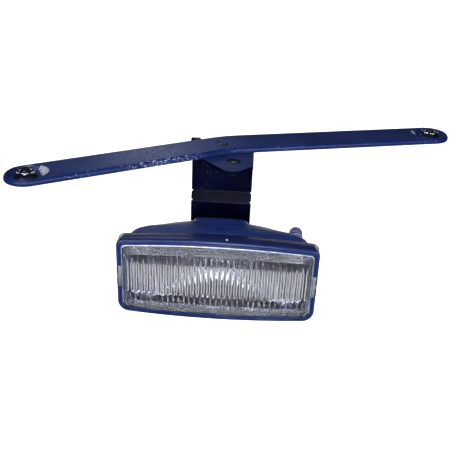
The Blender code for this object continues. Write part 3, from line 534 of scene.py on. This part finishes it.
def carve(made, bm, operation="DIFFERENCE"):
    """Cut a shape from a piece, or join it to the piece, at once."""
    bmesh.ops.recalc_face_normals(bm, faces=bm.faces)
    bmesh.ops.scale(bm, verts=bm.verts, vec=(MM, MM, MM))
    mesh = bpy.data.meshes.new("tool")
    bm.to_mesh(mesh)
    bm.free()
    tool = bpy.data.objects.new("tool", mesh)
    bpy.context.scene.collection.objects.link(tool)
    step = made.modifiers.new("carve", "BOOLEAN")
    step.operation, step.solver, step.object = operation, "EXACT", tool
    bake(made)
    bpy.data.objects.remove(tool, do_unlink=True)


def bake(made):
    """Replace a piece's mesh by what its modifiers make of it."""
    bpy.context.view_layer.update()
    shaped = made.evaluated_get(bpy.context.evaluated_depsgraph_get())
    mesh = bpy.data.meshes.new_from_object(shaped)
    made.modifiers.clear()
    made.data = mesh


def refine(node, name, material, body, width):
    """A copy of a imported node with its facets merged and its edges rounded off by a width."""
    bm = bmesh.new()
    bm.from_mesh(NODES[node].data)
    bmesh.ops.remove_doubles(bm, verts=bm.verts, dist=2e-6)
    bmesh.ops.dissolve_limit(bm, angle_limit=math.radians(1.0), verts=bm.verts, edges=bm.edges)
    bmesh.ops.scale(bm, verts=bm.verts, vec=(1 / MM, 1 / MM, 1 / MM))
    made = piece(name, bm, material, body, node)
    step = made.modifiers.new("soften", "BEVEL")
    step.width = width * MM
    step.segments = 2
    step.limit_method = "ANGLE"
    step.angle_limit = math.radians(30)
    bake(made)
    smooth(made, 35)
    return made


def arc(centre, radius, start, end, steps):
    angles = [math.radians(start + (end - start) * k / steps) for k in range(steps + 1)]
    return [(centre[0] + radius * math.cos(a), centre[1] + radius * math.sin(a)) for a in angles]


def lamp_points(points):
    return [LAMP + Vector(p) for p in points]


LAMP_TURN = Matrix.Translation(LAMP) @ Matrix.Rotation(math.radians(-90), 4, "X")


# ---------------------------------------------------------------- mounting bar

def arm_direction(angle, sign):
    a = math.radians(angle)
    return Vector((math.cos(a), math.sin(a))) * sign


LEFT_ARM = arm_direction(LEFT_ANGLE, -1)
RIGHT_ARM = arm_direction(RIGHT_ANGLE, 1)
LEFT_END = Vector(BEND_POINT) + LEFT_ARM * (LEFT_REACH - BAR_WIDTH / 2)
RIGHT_END = Vector(BEND_POINT) + RIGHT_ARM * (RIGHT_REACH - BAR_WIDTH / 2)


def bar_ring(inset, height, end_steps=32, bend_steps=12):
    half = BAR_WIDTH / 2 - inset
    tangent = BEND_RADIUS * math.tan(math.radians(LEFT_ANGLE - RIGHT_ANGLE) / 2)
    start = Vector(BEND_POINT) + LEFT_ARM * tangent
    normal = Vector((-math.sin(math.radians(LEFT_ANGLE)), math.cos(math.radians(LEFT_ANGLE))))
    centre = start - normal * BEND_RADIUS
    front = arc(centre, BEND_RADIUS - half, 90 + LEFT_ANGLE, 90 + RIGHT_ANGLE, bend_steps)
    back = arc(centre, BEND_RADIUS + half, 90 + RIGHT_ANGLE, 90 + LEFT_ANGLE, bend_steps)
    right = arc(RIGHT_END, half, RIGHT_ANGLE - 90, RIGHT_ANGLE + 90, end_steps)
    left = arc(LEFT_END, half, LEFT_ANGLE + 90, LEFT_ANGLE + 270, end_steps)
    return [(x, y, height) for x, y in front + right + back + left]


def press_pocket(bar, end):
    """Round cup pressed into one end of the bar, with a ramp on its inward side that carries a painted
    highlight in bright metal.
    """
    place = Matrix.Translation((end.x, end.y, 0))
    top, bottom = POCKET_TOP_RADIUS, POCKET_FLOOR_RADIUS
    under = -POCKET_DEPTH - POCKET_FLOOR
    cup = [(0, -0.6), (top + 0.4, -0.6), (bottom + 2.0, under + 0.5), (bottom + 1.4, under), (0, under)]
    carve(bar, lathe(cup, 48, place), "UNION")
    hollow = [(0, 1), (top + 1.6, 1), (top + 1.1, 0.0), (top + 0.5, -0.2), (top - 0.1, -0.8),
              (bottom + 0.5, -POCKET_DEPTH + 0.6), (bottom - 0.1, -POCKET_DEPTH + 0.15),
              (bottom - 0.8, -POCKET_DEPTH), (0, -POCKET_DEPTH)]
    carve(bar, lathe(hollow, 48, place))
    inward = (Vector(BEND_POINT) - end).normalized()
    ramp_at = end + inward * RAMP_SHIFT
    ramp_floor = -POCKET_DEPTH + 0.2
    ramp = [(0, 1), (13.2, 1), (12.6, 0.0), (11.6, -0.5), (7.4, ramp_floor + 0.5), (6.4, ramp_floor),
            (0, ramp_floor)]
    carve(bar, lathe(ramp, 48, Matrix.Translation((ramp_at.x, ramp_at.y, 0))))
    bolt_hole = [(0, 2), (END_BOLT_HOLE, 2), (END_BOLT_HOLE, under - 2), (0, under - 2)]
    carve(bar, lathe(bolt_hole, 32, place))
    # Sloped faces at the ramp's inward end get bright metal: a painted highlight
    for face in bar.data.polygons:
        spot = (face.center / MM).xy - end
        along = spot.dot(inward)
        on_ramp = spot.length < GLINT_TO and along > GLINT_FROM and along > GLINT_SPREAD * spot.length
        if on_ramp and 0.3 < face.normal.z < 0.93:
            face.material_index = BAR_SLOTS["painted_glint_metal"]


def mounting_bar(finishes):
    """Strap with rolled edges, hollow below, with a pocket at each end and one sunk screw hole."""
    rings = [bar_ring(0.4, -BAR_DEPTH), bar_ring(0, -BAR_DEPTH + 0.4)]
    for k in range(9):
        a = math.radians(90 * k / 8)
        rings.append(bar_ring(BAR_ROUND * (1 - math.cos(a)), -BAR_ROUND + BAR_ROUND * math.sin(a)))
    bar = piece("bar_strip", skin(rings), finishes["bar_paint"], "mount", "mounting_bar")
    for slot in BAR_SLOTS:
        bar.data.materials.append(finishes[slot])
    # Forward faces take the darker paint: painted shade
    for face in bar.data.polygons:
        if face.normal.y < SHADED_FACING:
            face.material_index = BAR_SLOTS["front_shade_paint"]
    carve(bar, skin([bar_ring(BAR_SHEET, -BAR_DEPTH - 3), bar_ring(BAR_SHEET, -BAR_SHEET)]))
    for end in (LEFT_END, RIGHT_END):
        press_pocket(bar, end)
    place = Matrix.Translation((*BAR_SCREW_AT, 0))
    boss = [(0, -0.6), (SCREW_SINK + 2.2, -0.6), (SCREW_HOLE + 2.2, -BAR_DEPTH), (0, -BAR_DEPTH)]
    carve(bar, lathe(boss, 36, place), "UNION")
    sink = [(0, 1), (SCREW_SINK + 0.9, 1), (SCREW_SINK + 0.5, 0.0), (SCREW_SINK - 0.3, -0.4),
            (SCREW_HOLE, -(SCREW_SINK - SCREW_HOLE)), (SCREW_HOLE, -BAR_DEPTH - 2), (0, -BAR_DEPTH - 2)]
    carve(bar, lathe(sink, 36, place))
    smooth(bar, 30)
    return bar


def hanger_bracket(finishes):
    """Packed plate with its edges rounded: near-black paint on it as painted shade, and the tab's upper side
    in the paler paint as painted light.
    """
    plate = refine("hanger_bracket", "hanger_plate", finishes["bracket_paint"], "mount", 0.35)
    plate.data.materials.append(finishes["tab_lit_paint"])
    # Upward faces of the tab take the paler paint as painted light; the rest stays near-black as painted
    # shade
    for face in plate.data.polygons:
        if face.normal.z > 0.75 and face.center.z / MM > FLANGE_LEVEL:
            face.material_index = 1
    return plate


# ---------------------------------------------------------------- lamp shells

def lamp_ring(half_width, half_height, bow, top_corner, bottom_corner, depth):
    """Outline of the lamp seen from its front: bowed top and bottom, rounded corners."""
    edge, corner = 20, 9
    points = []
    reach = half_width - top_corner
    for k in range(edge + 1):
        x = -reach + 2 * reach * k / edge
        points.append((x, half_height + bow * (1 - (x / reach) ** 2)))
    points += arc((reach, half_height - top_corner), top_corner, 90, 0, corner)[1:]
    reach = half_width - bottom_corner
    points += arc((reach, bottom_corner - half_height), bottom_corner, 0, -90, corner)
    for k in range(1, edge + 1):
        x = reach - 2 * reach * k / edge
        points.append((x, -half_height - bow * (1 - (x / reach) ** 2)))
    points += arc((-reach, bottom_corner - half_height), bottom_corner, 270, 180, corner)[1:]
    reach = half_width - top_corner
    points += arc((-reach, half_height - top_corner), top_corner, 180, 90, corner)[:-1]
    return [(x, depth, z) for x, z in points]


def bezel_ring(inset, depth):
    return lamp_ring(BEZEL_HALF_WIDTH - inset, BEZEL_HALF_HEIGHT - inset, BEZEL_BOW,
                     max(TOP_CORNER - inset, 1.0), max(BOTTOM_CORNER - inset, 1.0), depth)


def aperture_ring():
    ring = lamp_ring(APERTURE_HALF_WIDTH, APERTURE_HALF_HEIGHT, APERTURE_BOW, *APERTURE_CORNERS, 0)
    return [(x, y, z - APERTURE_DROP) for x, y, z in ring]


def between(outer, inner, share, depth):
    return [(a[0] + (b[0] - a[0]) * share, depth, a[2] + (b[2] - a[2]) * share) for a, b in zip(outer, inner)]


def front_bezel(finishes):
    """Moulded rim: two raised beads run round its face, then a slope falls to the lens."""
    outer, inner = bezel_ring(0, 0), aperture_ring()
    rings = [bezel_ring(0.25, BEZEL_DEPTH), bezel_ring(0, BEZEL_DEPTH - 0.3), bezel_ring(0, 1.5)]
    rings += [between(outer, inner, share, depth) for share, depth in RIM_FACE]
    rings += [bezel_ring(BEZEL_WALL, RIM_LIP), bezel_ring(BEZEL_WALL, BEZEL_DEPTH)]
    bm = skin([lamp_points(r) for r in rings], closed=True)
    bezel = piece("bezel_rim", bm, finishes["bezel_plastic"], "lamp", "front_bezel", sharp=60)
    for side in (-1, 1):
        low, high = sorted((side * CLIP_SLOT_FROM, side * CLIP_SLOT_TO))
        half = CLIP_SLOT_HALF
        outline = [(low, half), (high, half), (high, -half), (low, -half)]
        carve(bezel, prism(outline, -3, 20, LAMP_TURN))
    # Bead faces across the top and down the upper sides get bright metal: a painted highlight line
    bezel.data.materials.append(finishes["painted_glint_metal"])
    for face in bezel.data.polygons:
        spot = face.center / MM - LAMP
        on_bead = 0.5 < spot.y < 1.15 and abs(spot.x) < APERTURE_HALF_WIDTH + 1.2
        if on_bead and GLINT_LINE_FOOT < spot.z < APERTURE_HALF_HEIGHT + APERTURE_BOW - APERTURE_DROP + 1.3:
            face.material_index = 1
    smooth(bezel, 60)


def rim_pip(finishes):
    """Small pale raised pip on the rim's top, right of its middle."""
    top = BEZEL_HALF_HEIGHT + BEZEL_BOW
    place = Matrix.Translation(LAMP + Vector((*PIP_AT, top))) @ Matrix.Diagonal((1.4, 1.0, 1.0, 1.0))
    profile = [(0, -0.5), (0.62, -0.5), (0.62, 0.2), (0.5, 0.38), (0.3, 0.45), (0, 0.45)]
    piece("rim_pip", lathe(profile, 24, place), finishes["nylon"], "lamp")


def weld_crescent(finishes):
    """Faint raised crescent left by a spot weld on the bar."""
    middle = Vector((*WELD_AT, -0.05))
    rings = []
    for k in range(25):
        a = math.radians(150 + 190 * k / 24)
        width = WELD_WIDTH * math.sin(math.pi * k / 24) + 0.03
        out = Vector((math.cos(a), math.sin(a), 0))
        ring = []
        for i in range(10):
            b = 2 * math.pi * i / 10
            rise = Vector((0, 0, 0.5 * width * math.sin(b)))
            ring.append(middle + out * (WELD_RADIUS + width * math.cos(b)) + rise)
        rings.append(ring)
    piece("weld_crescent", skin(rings), finishes["bar_paint"], "mount")


def lens_height(x, share):
    """Height of a share of the way up the lens opening, whose top and bottom edges are bowed."""
    bow = APERTURE_BOW * (1 - (x / APERTURE_HALF_WIDTH) ** 2)
    reach = APERTURE_HALF_HEIGHT + bow
    return -APERTURE_DROP - reach + 2 * reach * share


def lens_relief(x, share):
    """How far the pressed pattern stands out of the lens's back."""
    flute = 0.5 + 0.5 * math.cos(2 * math.pi * x / FLUTE_PITCH)
    height = lens_height(x, share)
    if share < GRAIN_TOP or abs(x) > SIDE_BAND:
        across = math.sin(math.pi * (x / GRAIN_PITCH + 0.5 * round(height / GRAIN_PITCH)))
        return GRAIN_RELIEF * abs(across * math.sin(math.pi * height / GRAIN_PITCH))
    if share < WINDOW_TOP:
        return FLUTE_RELIEF * max(0.0, (flute - 0.72) / 0.28) ** 0.6
    if share < FLUTE_TOP:
        end = min(1.0, (share - WINDOW_TOP) / 0.05)
        return FLUTE_RELIEF * math.sqrt(flute) * math.sqrt(max(0.0, 1 - (1 - end) ** 2))
    across = abs(math.sin(math.pi * x / CELL_PITCH))
    return CELL_RELIEF * across * abs(math.sin(math.pi * height / CELL_PITCH))


def lens(finishes):
    """Glass plate with the pressed pattern on its back and a slight bulge on its front."""
    inset = BEZEL_WALL + 2 * GAP
    half_width, half_height = BEZEL_HALF_WIDTH - inset, BEZEL_HALF_HEIGHT - inset
    corner = BOTTOM_CORNER - inset
    columns = 420
    shares = []
    for low, high, steps in ((-0.03, 0.0, 2), (0.0, GRAIN_TOP, 26), (GRAIN_TOP, WINDOW_TOP, 7),
                             (WINDOW_TOP, 0.30, 9), (0.30, FLUTE_TOP, 7), (FLUTE_TOP, 1.0, 24),
                             (1.0, 1.07, 2)):
        shares += [low + (high - low) * k / steps for k in range(steps)]
    shares.append(1.07)

    def edge_limits(x):
        bow = BEZEL_BOW * (1 - (x / BEZEL_HALF_WIDTH) ** 2)
        reach = half_height + bow
        past = abs(x) - (half_width - corner)
        if past > 0:
            reach -= corner - math.sqrt(max(corner ** 2 - past ** 2, 0.0))
        return -reach, reach

    def spot(i, share, back):
        x = -half_width + 2 * half_width * i / columns
        low, high = edge_limits(x)
        z = min(max(lens_height(x, share), low), high)
        across, up = x / APERTURE_HALF_WIDTH, (z + APERTURE_DROP) / BULGE_HALF_HEIGHT
        swell = max(0.0, 1 - across ** 2) * max(0.0, 1 - up ** 2)
        front = LENS_FRONT - LENS_BULGE * min(1.0, 2.2 * swell)
        if not back:
            return Vector((x, front, z))
        inside = abs(x) < APERTURE_HALF_WIDTH - 0.2 and 0.0 < share < 1.0
        return Vector((x, LENS_FRONT + LENS_THICKNESS - 0.4 + (lens_relief(x, share) if inside else 0.0), z))

    bm = bmesh.new()
    front_shares = [shares[0] + (shares[-1] - shares[0]) * k / 12 for k in range(13)]
    grids = []
    for back, rows in ((True, shares), (False, front_shares)):
        grid = [[bm.verts.new(LAMP + spot(i, share, back)) for i in range(columns + 1)] for share in rows]
        for share, low, high in zip(rows, grid, grid[1:]):
            for i in range(columns):
                face = bm.faces.new((low[i], low[i + 1], high[i + 1], high[i]))
                x = -half_width + 2 * half_width * i / columns
                grained = share < GRAIN_TOP - 0.001 or share > FLUTE_TOP or abs(x) > SIDE_BAND
                face.material_index = 1 if back and grained and abs(x) < APERTURE_HALF_WIDTH else 0
        grids.append(grid)
    back, front = grids
    for side in (0, -1):
        for i in range(columns):
            bm.faces.new((back[side][i], back[side][i + 1], front[side][i + 1], front[side][i]))
        bm.faces.new([row[side] for row in back] + [row[side] for row in front[::-1]])
    bmesh.ops.remove_doubles(bm, verts=bm.verts, dist=1e-4)
    bmesh.ops.dissolve_degenerate(bm, edges=bm.edges, dist=1e-5)
    pane = piece("lens_pane", bm, finishes["lens_glass"], "lamp", "lens", sharp=50)
    pane.data.materials.append(finishes["lens_grain"])


def spline_sections(sections, count):
    """Rows of numbers run smoothly through the given rows."""
    rows = []
    last = len(sections) - 1
    for k in range(count + 1):
        at = last * k / count
        i = min(int(at), last - 1)
        t = at - i
        quad = [sections[min(max(j, 0), last)] for j in (i - 1, i, i + 1, i + 2)]
        row = []
        for a, b, c, d in zip(*quad):
            row.append(0.5 * (2 * b + (c - a) * t + (2 * a - 5 * b + 4 * c - d) * t * t
                              + (3 * b - a - 3 * c + d) * t ** 3))
        rows.append(row)
    return rows


def reflector_piece(finishes):
    """Bright shell: flange at its front, bowl behind it, and a collar for the bulb."""
    def ring_of(row, inset, shift):
        depth, width, height, bow, corner = row
        width, height = width - inset, height - inset
        radius = min(max(corner - inset, 2.0), height - 0.05, width - 0.05)
        return lamp_ring(width, height, bow, radius, radius, depth + shift)

    rows = spline_sections(REFLECTOR_SECTIONS, 30)
    inner = [ring_of(row, REFLECTOR_WALL, -REFLECTOR_WALL) for row in rows]
    outer = [ring_of(row, 0.0, 0.0) for row in rows]
    flange_front, flange_back = (
        lamp_ring(*FLANGE_SIZE, 1.5, 5, 5, depth) for depth in (FLANGE_FRONT, FLANGE_BACK))
    mouth = [(x, FLANGE_FRONT, z) for x, y, z in inner[0]]
    throat, collar_in, collar_out, collar_root = (
        lamp_ring(radius, radius, 0.0, radius - 0.05, radius - 0.05, depth)
        for radius, depth in ((COLLAR_BORE, 38.6), (COLLAR_BORE, COLLAR_END), (COLLAR_RADIUS, COLLAR_END),
                              (COLLAR_RADIUS, 40.3)))
    rings = [flange_back, flange_front, mouth] + inner + [throat, collar_in, collar_out, collar_root]
    rings += outer[::-1]
    bm = skin([lamp_points(r) for r in rings], closed=True)
    piece("reflector_bowl", bm, finishes["mirror_coat"], "mirror", "reflector", sharp=40)


def lens_clip(side, sign, finishes):
    """Spring clip with rolled edges and a raised middle rib."""
    rings = []
    for k in range(25):
        up = -1 + 2 * k / 24
        z = CLIP_HALF_HEIGHT * up
        rib = 0.28 * math.exp(-(z / 1.8) ** 2) + 0.22 * abs(up) ** 8
        ring = []
        for offset in (-CLIP_HALF_SHEET, CLIP_HALF_SHEET):
            face_points = []
            for i, (x, y) in enumerate(CLIP_PATH):
                before, after = CLIP_PATH[max(i - 1, 0)], CLIP_PATH[min(i + 1, len(CLIP_PATH) - 1)]
                along = (Vector(after) - Vector(before)).normalized()
                lift = offset - (rib if 2 < i < 9 else 0.0)
                face_points.append((sign * (x + along.y * lift), y - along.x * lift, z))
            ring += face_points if offset < 0 else face_points[::-1]
        rings.append(lamp_points(ring))
    bm = skin(rings)
    piece(f"clip_{side}", bm, finishes["spring_steel"], "lamp", f"lens_clip_{side}", sharp=50)


# ---------------------------------------------------------------- fasteners

def hexagon(across_flats, bottom, top, matrix, chamfer=0.7):
    """Hexagonal bar with both ends turned down, as on a nut or a bolt's head."""
    radius = across_flats / math.sqrt(3)
    flat = across_flats / 2
    middle = flat + (radius - flat) * 0.6
    steps = 72
    rings = []
    for height, limit in ((bottom, flat), (bottom + chamfer / 2, middle), (bottom + chamfer, radius),
                          (top - chamfer, radius), (top - chamfer / 2, middle), (top, flat)):
        ring = []
        for k in range(steps):
            a = 2 * math.pi * k / steps
            near = (a + math.pi / 6) % (math.pi / 3) - math.pi / 6
            reach = min(flat / math.cos(near), limit)
            ring.append(matrix @ Vector((reach * math.cos(a), reach * math.sin(a), height)))
        rings.append(ring)
    return skin(rings)


def threaded(radius, low, high, matrix, steps=24):
    """Rod with a rounded thread and a chamfered end at its high side."""
    rings = []
    count = int((high - low) / THREAD_PITCH * 6)
    for k in range(count + 1):
        height = low + (high - low) * k / count
        taper = 0.5 * (1 - min(1.0, (high - height) / 0.9))
        ring = []
        for i in range(steps):
            a = 2 * math.pi * i / steps
            wave = 0.5 + 0.5 * math.cos(2 * math.pi * height / THREAD_PITCH - a)
            reach = radius - THREAD_RELIEF * wave - taper
            ring.append(matrix @ Vector((reach * math.cos(a), reach * math.sin(a), height)))
        rings.append(ring)
    return skin(rings)


def end_bolt(side, place, finishes):
    """Flange bolt put in from below, whose threaded end stands in the pocket."""
    seat = -POCKET_DEPTH - POCKET_FLOOR - GAP
    head = [(0, seat), (7.4, seat), (8.0, seat - 0.3), (8.0, seat - 0.8), (7.2, seat - 1.4),
            (6.2, seat - 2.2), (4.6, seat - 2.2), (4.2, seat - 1.7), (0, seat - 1.7)]
    bolt = piece(f"bolt_{side}", lathe(head, 48, place), finishes["black_zinc"], "mount", f"end_bolt_{side}")
    carve(bolt, threaded(BOLT_RADIUS, seat - 0.5, 2.4, place), "UNION")
    smooth(bolt, 40)


def end_nut(side, place, finishes):
    """Flange nut in the pocket, with a painted highlight in bright metal on its top chamfer."""
    low = -POCKET_DEPTH + GAP
    turned = place @ Matrix.Rotation(math.radians(NUT_TURN), 4, "Z")
    block = hexagon(NUT_ACROSS_FLATS, low + 0.5, low + NUT_HEIGHT, turned)
    nut = piece(f"nut_{side}", block, finishes["black_zinc"], "mount", f"end_nut_{side}")
    flange = [(0, low), (8.4, low), (8.8, low + 0.3), (8.8, low + 0.9), (8.2, low + 1.4), (6.3, low + 2.4),
              (0, low + 2.4)]
    carve(nut, lathe(flange, 48, turned), "UNION")
    hole = BOLT_RADIUS + GAP
    bore = [(0, low - 1), (hole, low - 1), (hole, low + 4.5), (hole + 0.6, low + 5.3), (hole + 0.6, low + 7),
            (0, low + 7)]
    carve(nut, lathe(bore, 32, turned))
    nut.data.materials.append(finishes["painted_glint_metal"])
    # Top chamfer faces get bright metal: a painted highlight
    for face in nut.data.polygons:
        if 0.2 < face.normal.z < 0.93 and face.center.z / MM > low + NUT_HEIGHT - 1:
            face.material_index = 1
    smooth(nut, 30)


def sunk_screw(name, node, place, top, length, finishes):
    """Countersunk screw with a rounded rim, a hexagon socket and a plain shank below its cone."""
    head = SCREW_SINK - 0.7
    turn = Matrix.Translation((*place, top))
    profile = [(0, -0.55), (2.6, -0.5), (head - 0.6, -0.42), (head - 0.15, -0.5), (head, -0.75),
               (3.0, -0.5 - (head - 3.0)), (2.9, -length + 0.7), (2.3, -length), (0, -length)]
    screw = piece(name, lathe(profile, 48, turn), finishes["black_zinc"], "mount", node)
    carve(screw, hexagon(SOCKET_ACROSS_FLATS, -2.6, 1.0, turn, 0.2))
    # Faces inside the socket get bright zinc: a painted highlight in the head's middle
    screw.data.materials.append(finishes["zinc"])
    for face in screw.data.polygons:
        spot = face.center / MM - Vector((*place, top))
        if spot.xy.length < 2.5 and -3.0 < spot.z < -0.6:
            face.material_index = 1
    smooth(screw, 30)


# ---------------------------------------------------------------- housing and its fittings

def housing_shell(finishes):
    """Moulded body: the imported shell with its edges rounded, and fine raised lines round its crown."""
    shell = refine("rear_housing", "housing_shell", finishes["housing_plastic"], "lamp", 0.45)
    for depth, width, height, bow, corner in MOULD_LINES:
        rings = []
        for grow, shift in ((-LINE_ROOT, 0.0), (0.0, 0.0), (LINE_HEIGHT, 0.2),
                            (LINE_HEIGHT, LINE_WIDTH - 0.2), (0.0, LINE_WIDTH), (-LINE_ROOT, LINE_WIDTH)):
            ring = lamp_ring(width + grow, height + grow, bow, corner, corner, depth + shift)
            rings.append(lamp_points(ring))
        carve(shell, skin(rings, closed=True), "UNION")
    smooth(shell, 30)
    return shell


def ribbed_knob(finishes):
    """Knob with twelve rounded ribs, a domed end and a screwdriver slot."""
    low, high = AIM_AXIS[1] - KNOB_HALF_LENGTH, AIM_AXIS[1] + KNOB_HALF_LENGTH
    place = LAMP_TURN @ Matrix.Translation((AIM_AXIS[0], -AIM_AXIS[2], 0))
    steps = 128
    rings = []
    for height, radius, relief in ((low, 4.2, 0.0), (low + 0.3, 4.6, 0.0), (low + 0.7, 4.8, 0.3),
                                   (low + 1.0, 4.9, 0.7), (high - 1.6, 4.9, 0.7), (high - 1.0, 4.9, 0.4),
                                   (high - 0.5, 4.7, 0.0), (high - 0.1, 4.1, 0.0), (high, 2.8, 0.0)):
        ring = []
        for k in range(steps):
            a = 2 * math.pi * k / steps
            reach = radius + relief * abs(math.cos(6 * a)) ** 0.6
            ring.append(place @ Vector((reach * math.cos(a), reach * math.sin(a), height)))
        rings.append(ring)
    knob = piece("knob_ribbed", skin(rings), finishes["knob_plastic"], "aim_drive", "aim_knob")
    half = KNOB_SLOT_HALF_WIDTH
    carve(knob, prism([(-6, -half), (6, -half), (6, half), (-6, half)], high - 1.6, high + 1, place))
    end = SCREW_END + GAP
    carve(knob, lathe([(0, low - 1), (KNOB_BORE, low - 1), (KNOB_BORE, end), (0, end)], 32, place))
    smooth(knob, 32)


def rubber_boot(finishes):
    """Sleeve on the housing's neck, with two grip beads and a rolled lip."""
    piece("boot_sleeve", lathe(BOOT_PROFILE, 72, LAMP_TURN, closed=True), finishes["seal_rubber"], "lamp",
          "bulb_boot", sharp=45)


# ---------------------------------------------------------------- putting it together

def dress_nodes(finishes):
    """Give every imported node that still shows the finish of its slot."""
    slot_of = {part["node"]: part["material_slot"] for part in frame["record"]["subparts"]}
    for name, node in NODES.items():
        node.data.materials.clear()
        node.data.materials.append(finishes[slot_of[name]])


def build_pieces(finishes):
    flatten_shading(mounting_bar(finishes))
    flatten_shading(hanger_bracket(finishes))
    front_bezel(finishes)
    lens(finishes)
    reflector_piece(finishes)
    lens_clip("left", -1, finishes)
    lens_clip("right", 1, finishes)
    for side, end in (("left", LEFT_END), ("right", RIGHT_END)):
        place = Matrix.Translation((end.x, end.y, 0))
        end_bolt(side, place, finishes)
        end_nut(side, place, finishes)
    sunk_screw("socket_screw_bar", "bar_screw", BAR_SCREW_AT, 0.0, BAR_SCREW_LENGTH, finishes)
    sunk_screw("socket_screw_tab", "tab_screw", TAB_SCREW_AT, FLANGE_TOP, TAB_SCREW_LENGTH, finishes)
    flatten_shading(housing_shell(finishes))
    rim_pip(finishes)
    weld_crescent(finishes)
    ribbed_knob(finishes)
    rubber_boot(finishes)


place_camera()
build_stage()
FINISHES = build_finishes()
dress_nodes(FINISHES)
build_pieces(FINISHES)
